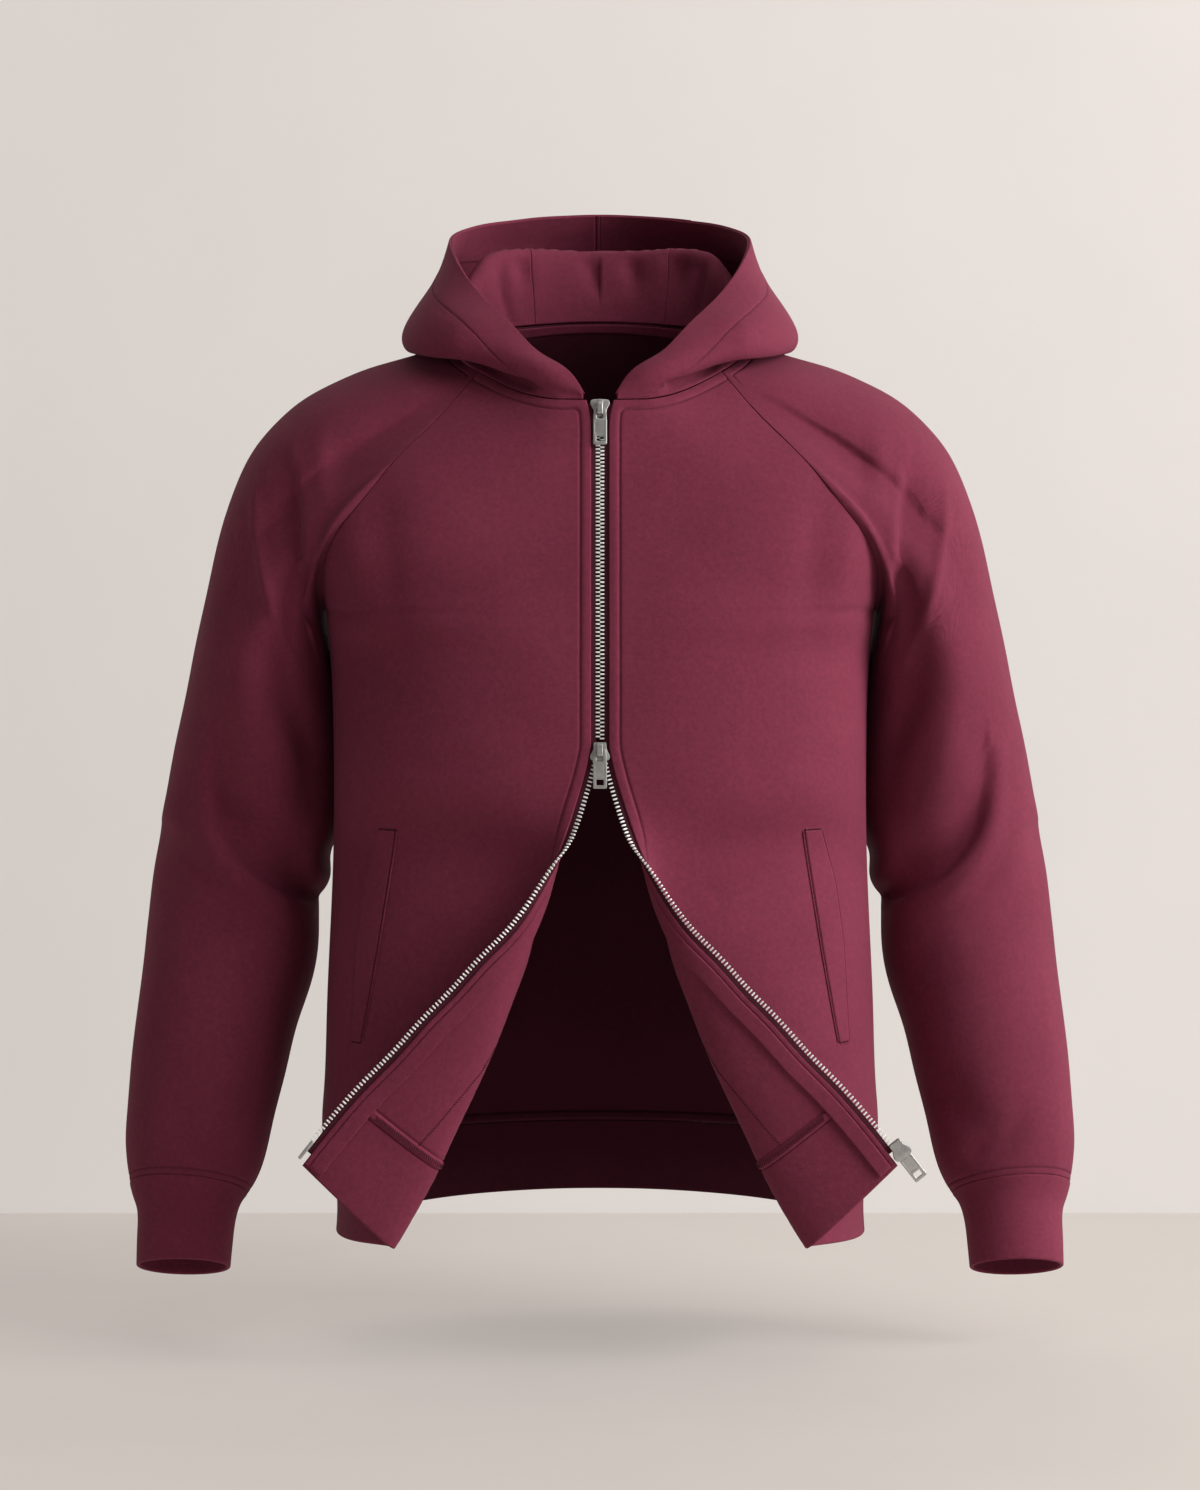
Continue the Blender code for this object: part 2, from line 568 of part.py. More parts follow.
# ---------------------------------------------------------------- meshes
def skin(outer, inner, wrap=False, turned=()):
    """Points and faces of the closed wall between two grids. wrap joins the last column to the first.

    Each face starts at the corner that its diagonal will be cut from. In the turned columns that is the next
    corner, so that a mirrored half is cut like the other one.
    """
    rows, columns = outer.shape[:2]
    top = np.arange(rows * columns).reshape(rows, columns)
    low = top + rows * columns
    faces = []
    last = columns if wrap else columns - 1
    for i in range(rows - 1):
        for j in range(last):
            k = (j + 1) % columns
            if j in turned:
                faces.append((top[i + 1, j], top[i + 1, k], top[i, k], top[i, j]))
                faces.append((low[i, k], low[i + 1, k], low[i + 1, j], low[i, j]))
            else:
                faces.append((top[i, j], top[i + 1, j], top[i + 1, k], top[i, k]))
                faces.append((low[i, j], low[i, k], low[i + 1, k], low[i + 1, j]))
    rim = []
    for j in range(last):
        k = (j + 1) % columns
        rim.append((top[0, j], top[0, k], low[0, k], low[0, j]))
        rim.append((top[-1, k], top[-1, j], low[-1, j], low[-1, k]))
    if not wrap:
        for i in range(rows - 1):
            rim.append((top[i + 1, 0], top[i, 0], low[i, 0], low[i + 1, 0]))
            rim.append((top[i, -1], top[i + 1, -1], low[i + 1, -1], low[i, -1]))
    return np.concatenate([outer.reshape(-1, 3), inner.reshape(-1, 3)]), faces + rim


def blocks(across, down, depth, filled):
    """Points and faces of a solid made of cells, from their widths, lengths and depths and which are full."""
    edges = [np.concatenate([[0], np.cumsum(sizes)]) for sizes in (across, down, depth)]
    full = np.pad(np.asarray(filled, bool), 1)
    shape = [len(e) for e in edges]
    places = np.stack(np.meshgrid(*edges, indexing="ij"), axis=-1).reshape(-1, 3)
    number = np.arange(len(places)).reshape(shape)
    faces = []
    for i, j, k in np.argwhere(full):
        a, b, c = i - 1, j - 1, k - 1
        for axis in range(3):
            for side in (0, 1):
                beside = [i, j, k]
                beside[axis] += 2 * side - 1
                if full[tuple(beside)]:
                    continue
                corner = [a, b, c]
                corner[axis] += side
                first, second = [n for n in range(3) if n != axis]
                loop = []
                for u, v in ((0, 0), (1, 0), (1, 1), (0, 1)):
                    at = list(corner)
                    at[first] += u
                    at[second] += v
                    loop.append(number[tuple(at)])
                if (side == 1) == (axis == 1):
                    loop.reverse()
                faces.append(tuple(loop))
    used = sorted({v for face in faces for v in face})
    renumber = {v: n for n, v in enumerate(used)}
    return places[used], [tuple(renumber[v] for v in face) for face in faces]


def volume(points, faces):
    """Six times the signed volume that the faces enclose."""
    total = 0.0
    for face in faces:
        a = points[face[0]]
        for b, c in zip(face[1:-1], face[2:]):
            total += float(np.dot(a, np.cross(points[b], points[c])))
    return total


def material(name, colour, roughness, metallic=0.0):
    made = bpy.data.materials.new(name)
    made.use_nodes = True
    shader = made.node_tree.nodes["Principled BSDF"]
    shader.inputs["Base Color"].default_value = (*colour, 1.0)
    shader.inputs["Roughness"].default_value = roughness
    shader.inputs["Metallic"].default_value = metallic
    return made


FLEECE = ((0.155, 0.022, 0.047), 0.9, 0.0)
STRIP = ((0.10, 0.015, 0.031), 0.85, 0.0)
METAL = ((0.55, 0.55, 0.56), 0.3, 1.0)
TEETH = ((0.50, 0.50, 0.51), 0.35, 1.0)


def solid(name, shape, finish, pivot=None):
    """An object from points and faces in millimetres. A moving piece has its origin on its pivot."""
    points, faces = shape
    if volume(points, faces) < 0:
        faces = [(face[0], *reversed(face[1:])) for face in faces]
    origin = np.zeros(3) if pivot is None else pivot
    mesh = bpy.data.meshes.new(name)
    corners = [tuple((p - origin) * MM) for p in points]
    mesh.from_pydata(corners, [], [tuple(int(v) for v in face) for face in faces])
    shaped = bmesh.new()
    shaped.from_mesh(mesh)
    bmesh.ops.triangulate(shaped, faces=shaped.faces, quad_method="FIXED")
    shaped.to_mesh(mesh)
    shaped.free()
    mesh.materials.append(material(name, *finish))
    made = bpy.data.objects.new(name, mesh)
    made.location = tuple(origin * MM)
    bpy.context.scene.collection.objects.link(made)
    return made


def wall(name, grid, out, thick=CLOTH, lift=0.0, wrap=False, turned=(), finish=FLEECE, mirror=False):
    """A cloth piece whose outer side lies that far outside the grid."""
    points, faces = skin(grid + out * lift, grid + out * (lift - thick), wrap, turned)
    if mirror:
        points = points * FLIP
    return solid(name, (points, faces), finish)


def both(name, grid, out, **how):
    """The piece on the wearer's right and its mirror image on the left."""
    wall(name + "_right", grid, out, **how)
    wall(name + "_left", grid, out, mirror=True, **how)


# ---------------------------------------------------------------- the pieces
RAGLAN_LEVELS = [0, 9, 26, 44, 62, 80, 97, 114, 128, 142, 155, 168]
SPLIT_LEVELS = [282, 300, 318, 330, 342, 354, 366, 378, 389, 400, 412, 428, 452, 478, 502, 530, 560, 582]
FRONT_LEVELS = RAGLAN_LEVELS + [200, 232, 266] + SPLIT_LEVELS
BACK_LEVELS = RAGLAN_LEVELS + [214, 266, 338, 398, 460, 520, 565]
BAND_LEVELS = [BAND_SEAM + SEAM_GAP / 2, 626, HEM]
BODY_STEPS = [0, 0.16, 0.33, 0.5 - 1e-9, 0.5, 0.63, 0.80, 1.0]
FLAP_STEPS = [0.22, 0.45, 0.72]
BACK_SHARES = [0, 0.12, 0.25, 0.38, 0.5, 0.63, 0.78, 1.0]
NECK_SHARES = [0, 0.25, 0.5, 0.75, 1.0]
HEAD_ROWS = [0, 0.12, 0.26, 0.42, 0.6, 0.8]
SLEEVE_ROWS = HEAD_ROWS + [1, 1.55, 2.1, 2.65, 3.2, 3.6, 3.95, 4.3, 4.9, 5.8, 6.8, 7.6, 8.4]
CUFF_ROWS = [9.6, 10.2, SLEEVE_END]
HOOD_SHARES = [0.008, 0.05, 0.10, 0.16, 0.23, 0.30, 0.37, 0.44, 0.51, 0.58, 0.65, 0.72, 0.78, HOOD_SEAM]
CENTRE_SHARES = [HOOD_SEAM, 0.89, 0.945, 1.0]
HOOD_BELOW = [0, 0.6, 0.85, 1.0, 1.2, 1.6, 2.2, 2.65, 2.88, 3.0, 3.14, 3.4, 4.0, 4.6]
HOOD_ABOVE = [0, 0.5, 1]


def inset(grid, left=False, right=False, gap=SEAM_GAP / 2):
    """A grid whose first or last column is drawn in, to leave half a seam's clear distance."""
    grid = grid.copy()
    if left:
        grid[:, 0] += unit(grid[:, 1] - grid[:, 0]) * gap
    if right:
        grid[:, -1] += unit(grid[:, -2] - grid[:, -1]) * gap
    return grid


def level_seam(out, row):
    """Gives the last row above a seam and the first below it the same normals, so that they stay apart."""
    out[row - 1 : row + 1] = unit(out[row - 1] + out[row])


def make_body():
    """The fronts, the back and the hem band. Returns the grids and normals for what is sewn on them."""
    seam = BAND_SEAM - SEAM_GAP / 2
    levels = np.array(FRONT_LEVELS + [seam] + BAND_LEVELS, float)
    body_shares, flap_shares = front_shares(levels, BODY_STEPS, FLAP_STEPS)
    front = front_grid(levels, body_shares, flap_shares)
    front_out = normals(front)
    front_out[:, 0] = side_normals(levels)
    front_out[:, -1] = edge_frames(levels)[3]
    cut = len(FRONT_LEVELS) + 1
    level_seam(front_out, cut)
    sewn = inset(front, left=True)
    both("front", sewn[:cut], front_out[:cut])
    front_levels = levels

    levels = np.array(BACK_LEVELS + [seam] + BAND_LEVELS, float)
    half = back_grid(levels, BACK_SHARES)
    half_out = -normals(half)
    half_out[:, 0] = side_normals(levels, back=True)
    half_out[:, -1] = unit(half_out[:, -1] * np.array([0.0, 1.0, 1.0]))
    back = np.concatenate([(half * FLIP)[:, :-1], half[:, ::-1]], axis=1)
    back_out = np.concatenate([(half_out * FLIP)[:, :-1], half_out[:, ::-1]], axis=1)
    cut_back = len(BACK_LEVELS) + 1
    level_seam(back_out, cut_back)
    wall("back", inset(back, left=True, right=True)[:cut_back], back_out[:cut_back])

    # The band runs from one zip edge round the back to the other, so the side seams' columns are shared.
    low, low_out = front[cut:], front_out[cut:]
    band = np.concatenate([(low[:, ::-1] * FLIP)[:, :-1], back[cut_back:], low[:, 1:]], axis=1)
    left_out = low_out[:, ::-1] * FLIP
    band_out = np.concatenate([left_out[:, :-1], back_out[cut_back:], low_out[:, 1:]], axis=1)
    turned = range(front.shape[1] - 1)
    wall("hem_band", band, band_out, thick=TRIM, lift=TRIM - CLOTH, turned=turned)
    return front_levels, front, front_out, half, half_out


def make_sleeves():
    """Each sleeve from its raglan seams to the cuff, and the cuff."""
    gap = 0.01
    at = np.array(SLEEVE_ROWS + [SLEEVE_SEAM - gap, SLEEVE_SEAM + gap] + CUFF_ROWS)
    grid, start_out, _ = sleeve_grid(at, RAGLAN_LEVELS, NECK_SHARES)
    out = -normals(grid, wrap=True)
    out[0] = start_out
    cut = len(SLEEVE_ROWS) + 1
    level_seam(out, cut)
    both("sleeve", grid[:cut], out[:cut], wrap=True)
    both("cuff", grid[cut:], out[cut:], thick=TRIM, lift=(TRIM - CLOTH) / 2, wrap=True)


def make_hood(front, back):
    """The hood's two sides and its centre panel, the facing of its rim and the tape inside the neck."""
    side = read(NECK_SIDE, "share", "x y z", NECK_SHARES)
    points, travelled = neckline((front[0], side, back[0]))

    def part(shares):
        seam = along(points, travelled, shares) + np.array([0.0, 0.0, HOOD_LIFT])
        return hood_grid(seam, np.asarray(shares), HOOD_BELOW, HOOD_ABOVE)

    whole = part(HOOD_SHARES[:-1] + CENTRE_SHARES)
    out = normals(whole)
    out[-2:, :2] = out[-3, :2]
    out[:, 0] = out[:, 1]
    out[:, -1] = unit(out[:, -1] * np.array([0.0, 1.0, 1.0]))
    seam_at = len(HOOD_SHARES) - 1
    panel, panel_out = whole[:, : seam_at + 1], out[:, : seam_at + 1]
    every = range(panel.shape[1])
    both("hood_side", inset(panel, right=True, gap=SEAM_GAP), panel_out, turned=every)
    right, right_out = whole[:, seam_at:], out[:, seam_at:]
    centre = np.concatenate([right, (right[:, ::-1] * FLIP)[:, 1:]], axis=1)
    centre_out = np.concatenate([right_out, (right_out[:, ::-1] * FLIP)[:, 1:]], axis=1)
    turned = range(right.shape[1] - 1)
    wall("hood_centre", inset(centre, left=True, right=True, gap=SEAM_GAP), centre_out, turned=turned)
    rim = slice(len(HOOD_BELOW), None)
    how = dict(thick=STRIP_THICK, lift=-(CLOTH + PATCH_LIFT), turned=range(whole.shape[1]))
    both("hood_facing", inset(whole[rim, 1:], right=True), out[rim, 1:], **how)


def make_strips(levels, front, front_out, back, back_out):
    """The strips inside along the zip and the back neck, the zip tapes and the pocket welts."""
    inside = -(CLOTH + PATCH_LIFT)
    rows = slice(1, len(levels) - 1)
    edge, hidden, folded_back = (front[rows, k] for k in (-1, -2, -3))
    edge_out, hidden_out, folded_out = (front_out[rows, k] for k in (-1, -2, -3))
    away = edge_frames(levels[rows])[2]
    tape = np.stack([hidden, edge, edge + away * TAPE_SHOWN], axis=1)
    tape_out = np.stack([hidden_out, edge_out, edge_out], axis=1)
    both("zip_tape", tape, tape_out, thick=TAPE_THICK, lift=inside, finish=STRIP)
    short = STRIP_SHORT / TAPE_HIDDEN
    strip = np.stack([folded_back, hidden, edge + (hidden - edge) * short], axis=1)
    strip_out = np.stack([folded_out, hidden_out, edge_out + (hidden_out - edge_out) * short], axis=1)
    lower = inside - TAPE_THICK - PATCH_LIFT
    both("zip_facing", strip, strip_out, thick=STRIP_THICK, lift=lower, finish=STRIP)

    right, right_out = back[:2, ::-1], back_out[:2, ::-1]
    neck = np.concatenate([(right[:, ::-1] * FLIP)[:, :-1], right], axis=1)[:, 1:-1]
    neck_out = np.concatenate([(right_out[:, ::-1] * FLIP)[:, :-1], right_out], axis=1)[:, 1:-1]
    wall("neck_tape", neck, neck_out, thick=STRIP_THICK, lift=inside, finish=STRIP)

    first, last = FRONT_LEVELS.index(330), FRONT_LEVELS.index(502)
    near = BODY_STEPS.index(0.5)
    rows, columns = slice(first, last + 1), slice(near - 1, near + 1)
    both("pocket_welt", front[rows, columns], front_out[rows, columns], lift=CLOTH + PATCH_LIFT)


CHAIN_DEPTH = CLOTH + PATCH_LIFT + TAPE_THICK / 2  # the middle of the zip below the outer side of the cloth


def chain(name, levels, near, far, mirror=False):
    """A row of teeth as a bar, between two distances from the zip's edge."""
    origin, _, away, out = edge_frames(levels)
    middle = origin - out * CHAIN_DEPTH
    grid = np.stack([middle + away * near, middle + away * far], axis=1)
    lift = np.repeat((out * CHAIN_THICK / 2)[:, None], 2, axis=1)
    points, faces = skin(grid + lift, grid - lift)
    if mirror:
        points = points * FLIP
    return solid(name, (points, faces), TEETH)


def placed(shape, origin, across, down, out):
    """A shape's points moved from its own frame to the garment's."""
    points, faces = shape
    return origin + points[:, :1] * across + points[:, 1:2] * down + points[:, 2:] * out, faces


def slider_shape():
    """A slider in its own frame: across, down from its narrow end, and out from the middle of the zip.

    Two plates joined by a post at the wide end, with short lips at the sides, and a bail on the front plate.
    """
    post = 2.4
    inner = (SLIDER_NARROW - 2.4 - BAIL_WIDTH) / 2
    side = (BAIL_WIDTH - post) / 2
    across = [1.2, inner, side, post, side, inner, 1.2]
    down = [1.2, 1.6, 6.4, 1.6, 3.2]
    lip = 0.75
    depth = [PLATE, lip, PLATE_GAP - 2 * lip, lip, PLATE, BAIL_RISE - 1.4, 1.4]
    full = np.zeros((7, 5, 7), bool)
    full[:, :, 0] = full[:, :, 4] = True
    full[0, :, [1, 3]] = full[6, :, [1, 3]] = True
    full[3, 4, 1:4] = True
    full[2:5, 1, 5:] = full[2:5, 3, 5:] = full[2:5, 2, 6] = True
    points, faces = blocks(across, down, depth, full)
    points = points - np.array([SLIDER_NARROW / 2, 0, PLATE + PLATE_GAP / 2])
    grow = (SLIDER_WIDE - SLIDER_NARROW) / 2 * np.clip(points[:, 1] / SLIDER_LENGTH, 0, 1) ** 1.5
    plate = points[:, 2] < PLATE_GAP / 2 + PLATE + 0.01
    centre = np.abs(points[:, 0]) < BAIL_WIDTH / 2 + 0.01
    points[:, 0] += np.where(plate & ~centre, np.sign(points[:, 0]) * grow, 0)
    return points, faces


BAIL_MIDDLE = 1.2 + 1.6 + 3.2  # down the slider to the middle of the bail's window
HINGE_OUT = PLATE_GAP / 2 + PLATE + (BAIL_RISE - 1.4) / 2


def pull_shape():
    """A pull tab hanging from the middle of its bar, with a window for the bail and one near its foot."""
    window = 5.3
    arm = (PULL_WIDTH - window) / 2
    across = [1.4, arm - 1.4, window, arm - 1.4, 1.4]
    foot = 3.4
    hole = 4.2
    down = [PULL_BAR, 6.9, PULL_LENGTH - PULL_BAR - 6.9 - foot - hole - 0.8, 0.8, hole, foot]
    full = np.ones((5, 6, 1), bool)
    full[2, 1] = full[2, 4] = False
    points, faces = blocks(across, down, [PULL_THICK], full)
    points = points - np.array([PULL_WIDTH / 2, PULL_BAR / 2, PULL_THICK / 2])
    return points, faces


def make_zip():
    """The chain, the three sliders with their pull tabs and the pin at the foot of the right tape."""
    near = TAPE_SHOWN + 2 * SEAM_GAP
    far = near + CHAIN_WIDTH

    levels = [14, 26, 44, 62, 80, 97, 114, 128, 142, 155, 168, 200, 232, 262]
    origin, _, _, out = edge_frames(levels)
    middle = (origin - out * CHAIN_DEPTH) * np.array([0.0, 1.0, 1.0])
    side = np.array([CHAIN_WIDTH + 0.05, 0.0, 0.0])
    straight = unit(out * np.array([0.0, 1.0, 1.0])) * CHAIN_THICK / 2
    grid = np.stack([middle - side, middle + side], axis=1)
    lift = np.repeat(straight[:, None], 2, axis=1)
    solid("zip_chain", skin(grid + lift, grid - lift), TEETH)
    levels = [270] + [level for level in FRONT_LEVELS if level > 270] + [BAND_SEAM, BAND_LEVELS[1], 638]
    chain("zip_teeth_right", levels, near, far)
    chain("zip_teeth_left", levels, near, far, mirror=True)
    chain("insertion_pin", [639, 654], near, far - 0.6)

    hang = np.array([0.0, 0.0, -1.0])
    for name, level, turned in (("top", 6.5, True), ("lower", 271, False), ("end", 648, False)):
        origin, down, away, out = (v[0] for v in edge_frames([level]))
        middle = origin - out * CHAIN_DEPTH
        if name == "end":
            middle = (middle + away * (far + 1.6)) * FLIP
            down, away, out = down * FLIP, away * FLIP, out * FLIP
        else:
            middle, out = middle * np.array([0, 1, 1]), unit(out * np.array([0, 1, 1]))
            away = np.array([1.0, 0.0, 0.0])
            down = unit(np.cross(out, away))
            down *= -np.sign(down[2])
        along_slider = -down if turned else down
        body = slider_shape()
        start = middle - along_slider * SLIDER_LENGTH / 2
        solid("slider_" + name, placed(body, start, away, along_slider, out), METAL)
        hinge = start + along_slider * BAIL_MIDDLE + out * HINGE_OUT
        hang_down = unit(hang - away * (hang @ away)) if name == "end" else down
        face = unit(np.cross(away, hang_down))
        face *= np.sign(face @ out)
        solid("pull_tab_" + name, placed(pull_shape(), hinge, away, hang_down, face), METAL, pivot=hinge)


def main():
    for thing in list(bpy.data.objects):
        bpy.data.objects.remove(thing, do_unlink=True)
    levels, front, front_out, back, back_out = make_body()
    make_sleeves()
    make_hood(front, back)
    make_strips(levels, front, front_out, back, back_out)
    make_zip()


main()
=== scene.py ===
"""The looks of a zip-up hoodie in burgundy double-knit fleece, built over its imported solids.

Every cloth piece is a thin shell made from the same curves as its solid, with finer rows, the rolled edges of
its seams, its topstitching and its softer folds. The zip's teeth, sliders and pull tabs are modelled metal.
Lengths are in millimetres up to the point where a mesh is made. +Z is up, the front faces -Y and the wearer's
right side is at -X.
"""

import math

import bmesh
import bpy
import numpy as np
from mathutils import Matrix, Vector


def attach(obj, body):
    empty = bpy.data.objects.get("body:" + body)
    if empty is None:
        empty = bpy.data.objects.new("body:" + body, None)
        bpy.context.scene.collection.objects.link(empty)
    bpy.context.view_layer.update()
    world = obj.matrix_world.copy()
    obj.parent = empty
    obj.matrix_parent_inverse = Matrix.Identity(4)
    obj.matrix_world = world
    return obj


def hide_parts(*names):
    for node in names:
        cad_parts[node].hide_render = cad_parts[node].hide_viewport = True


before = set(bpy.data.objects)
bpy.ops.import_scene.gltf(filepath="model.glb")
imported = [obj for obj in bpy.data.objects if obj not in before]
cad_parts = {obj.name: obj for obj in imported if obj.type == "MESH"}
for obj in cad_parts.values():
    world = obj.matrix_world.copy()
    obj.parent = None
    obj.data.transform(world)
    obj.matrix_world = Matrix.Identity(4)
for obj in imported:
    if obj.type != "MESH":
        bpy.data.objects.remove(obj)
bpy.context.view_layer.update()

MM = 0.001  # metres in a millimetre

# ---------------------------------------------------------------- sizes shared with the solids
CLOTH = 2.0  # thickness of the fleece
TRIM = 3.0  # the cuffs and the hem band are folded double
SEAM_GAP = 0.3
PATCH_LIFT = 0.3  # clear distance between a panel and what is sewn on it
FACING_WIDTH = 31.0  # the faced rim of the hood, at its front
FACING_TAPER = 5.0  # how much narrower it is at the centre back
TAPE_THICK = 0.8
ZIP_HALF = 6.8  # from the middle of the closed zip to the front's edge
TAPE_SHOWN = 2.7
CHAIN_WIDTH = 3.3  # one side's row of teeth, across
SLIDER_LENGTH = 14.0
SLIDER_NARROW = 9.8
SLIDER_WIDE = 15.2
PLATE = 1.2
PLATE_GAP = 3.0
BAIL_WIDTH = 4.4
BAIL_RISE = 3.8
PULL_WIDTH = 10.5
PULL_LENGTH = 30.0
PULL_THICK = 1.5
PULL_BAR = 1.6

# Levels down the body: millimetres down the zip's edge from the neck seam.
UNDERARM = 168
BAND_SEAM = 598
HEM = 657


def table(names, *lines):
    """Columns by name from rows of numbers."""
    columns = np.array(lines, float).T
    return dict(zip(names.split(), columns))


EDGE = "level x y z"
# The seam that bounds the body at the side: the front raglan seam down to the underarm, then the side seam.
FRONT_EDGE = table(
    EDGE,
    (0, -95, -58, -20),
    (34, -122, -76, -54),
    (62, -149, -92, -83),
    (88, -173, -101, -111),
    (114, -196, -98, -141),
    (128, -208, -87, -158),
    (142, -216, -66, -176),
    (155, -219, -31, -194),
    (168, -219, 8, -204),
)
BACK_EDGE = table(
    EDGE,
    (0, -88, 62, 29),
    (34, -112, 88, -14),
    (62, -140, 107, -50),
    (88, -166, 117, -86),
    (114, -191, 117, -122),
    (128, -205, 105, -147),
    (142, -215, 80, -171),
    (155, -219, 44, -192),
    (168, -219, 8, -204),
)
SIDE_SEAM = table(
    EDGE,
    (168, -219, 8, -204),
    (214, -214, 1, -258),
    (266, -212, -7, -312),
    (322, -211.5, -12, -366),
    (398, -213, -13, -440),
    (480, -217, -12, -520),
    (546, -219.3, -10, -584),
    (598, -218, -9, -635),
    (620, -210.5, -9, -658),
    (657, -209, -9, -697),
)
# How each row leaves that seam: lead is the angle from straight across (0) to straight forward (90),
# reach its strength and dip its fall. Then the fold, where a front turns outwards, with the angle it has
# turned by there, and the edge that carries the zip.
FRONT_ROWS = table(
    "level lead reach dip  fold_x fold_y fold_z turned ease roll edge_x edge_y edge_z",
    (0, 28, 24, -0.55, -28, -97, -46, 0, 26, 0, -10.5, -98.3, -46.5),
    (14, 29, 28, -0.50, -28, -101, -60, 0, 32, 0, -7.5, -101.8, -60.3),
    (34, 30, 36, -0.35, -28, -106, -80, 0, 42, 0, -6.9, -106.8, -80),
    (62, 25, 42, -0.30, -28, -113, -108, 0, 55, 0, -6.8, -113.6, -108),
    (88, 21, 48, -0.25, -28, -119, -134, 0, 66, 0, -6.8, -119.5, -134),
    (114, 30, 46, -0.20, -28, -124.5, -160, 0, 82, 0, -6.8, -125, -160),
    (128, 46, 44, -0.18, -28, -127, -174, 0, 95, 0, -6.8, -127.4, -174),
    (142, 66, 51, -0.14, -28, -129, -188, 0, 104, 0, -6.8, -129.4, -188),
    (155, 84, 80, -0.08, -28, -130.4, -201, 0, 110, 0, -6.8, -130.7, -201),
    (168, 90, 119.5, -0.03, -28, -131.5, -214, 0, 112, 0, -6.8, -131.8, -214),
    (190, 90, 105, -0.01, -28, -132.7, -236, 0, 112, 0, -6.8, -133, -236),
    (214, 90, 96, 0, -28, -133.5, -260, 0, 112, 0, -6.8, -133.7, -260),
    (266, 90, 93, 0, -28, -134.5, -312, 0, 112, 0, -6.8, -134.8, -312),
    (282, 90, 93, 0, -31, -135, -328, 2, 106, 0.5, -10, -135.8, -328),
    (322, 90, 97, 0, -40, -135, -369, 14, 78, 3, -23, -141, -370),
    (347, 90, 102, 0, -41, -136, -396, 42, 42, 5, -32.4, -149.5, -393.5),
    (373, 90, 114, 0, -42.5, -140, -422, 72, 28, 7, -43.6, -159.5, -416),
    (398, 90, 121, 0, -50, -145, -450, 86, 23, 9, -56, -165.5, -438.5),
    (421, 90, 125, 0, -56, -147, -474, 90, 22, 10, -68.3, -168, -455.5),
    (450, 90, 127, 0, -66.3, -149, -502, 90, 22, 11, -86.8, -169, -475),
    (480, 90, 127, 0, -77, -150, -529, 90, 21, 11, -106.8, -168.5, -497.5),
    (512, 90, 125, 0, -88, -150, -556, 90, 20, 11, -128.4, -168, -519.5),
    (546, 90, 120, 0, -101, -150, -585, 90, 20, 11, -150.2, -167, -544),
    (579, 90, 112, 0, -114.5, -150, -613, 90, 20, 11, -172.9, -166, -567),
    (598, 90, 104, 0, -122.6, -150, -631, 90, 20, 11, -185.4, -166, -580.5),
    (657, 90, 84, 0, -156.5, -150, -690, 90, 20, 11, -222.3, -166, -626),
)
# The back's rows, from the same seam to the centre back.
BACK_ROWS = table(
    "level lead reach dip  centre_y centre_z ease",
    (0, 30, 28, 0.12, 88, 37.5, 42),
    (34, 28, 36, 0.20, 104, 2, 52),
    (62, 25, 46, 0.14, 120, -39, 64),
    (88, 23, 52, 0.08, 132, -78, 76),
    (114, 31, 50, 0.04, 141, -117, 92),
    (128, 46, 46, 0, 144.5, -145, 105),
    (142, 66, 55, 0, 147, -172, 114),
    (155, 82, 82, 0, 148, -195, 120),
    (168, 90, 110, 0, 148, -210, 124),
    (190, 90, 104, 0, 147.2, -232, 124),
    (214, 90, 99, 0, 146, -258, 124),
    (266, 90, 104, 0, 142.5, -312, 124),
    (322, 90, 106, 0, 140.5, -366, 124),
    (398, 90, 106, 0, 140.5, -440, 124),
    (480, 90, 106, 0, 143, -520, 124),
    (546, 90, 106, 0, 146, -584, 124),
    (598, 90, 106, 0, 146, -629, 122),
    (620, 90, 102, 0, 143, -650, 120),
    (657, 90, 102, 0, 142, -686.5, 120),
)
# The neckline over each shoulder, between the front and back raglan seams.
NECK_SIDE = table(
    "share    x     y    z",
    (0.0, -95, -58, -20),
    (0.25, -110, -32, -7),
    (0.5, -114, 4, 8),
    (0.75, -106, 36, 20),
    (1.0, -88, 62, 29),
)
# A sleeve's rings, down the arm: centre, half width across the view and half depth.
SLEEVE_RINGS = table(
    "ring     x     y     z   wide  deep",
    (1.0, -272.0, 30, -262, 59.9, 86),
    (2.0, -277.3, 37, -322, 67.8, 79),
    (3.0, -282.1, 42, -372, 72.7, 74),
    (3.35, -284.9, 42, -389, 73.0, 73),
    (4.0, -293.8, 40, -420, 68.8, 71),
    (5.0, -297.6, 33, -468, 69.2, 68),
    (6.0, -305.4, 21, -517, 65.4, 65),
    (7.0, -313.2, 6, -564, 61.9, 60),
    (8.0, -318.9, -9, -609, 57.9, 54),
    (8.7, -322.5, -19, -640, 54.0, 49),
    (9.2, -325.3, -27, -662, 46.5, 41),
    (9.6, -325.6, -33, -676, 40.0, 34.5),
    (10.2, -326.2, -42, -698, 37.2, 31.5),
    (10.8, -326.5, -51, -721, 36.2, 30.5),
)
# Degrees round the sleeve: at the underarm, at the neckline's front and back ends, and at the underarm again.
CORNERS_ROUND = [0, 128, 232, 360]
# How the sleeve's head leaves its seam: shares of the chord, except under, which is in millimetres.
HEAD = {"aside": 0.12, "crease": 1.5, "from": 0.0, "span": 0.95, "reach": 0.28, "crown": 0.26, "under": 10.0}
SLEEVE_SEAM = 9.2  # the ring where the cuff is sewn on
SLEEVE_END = 10.8
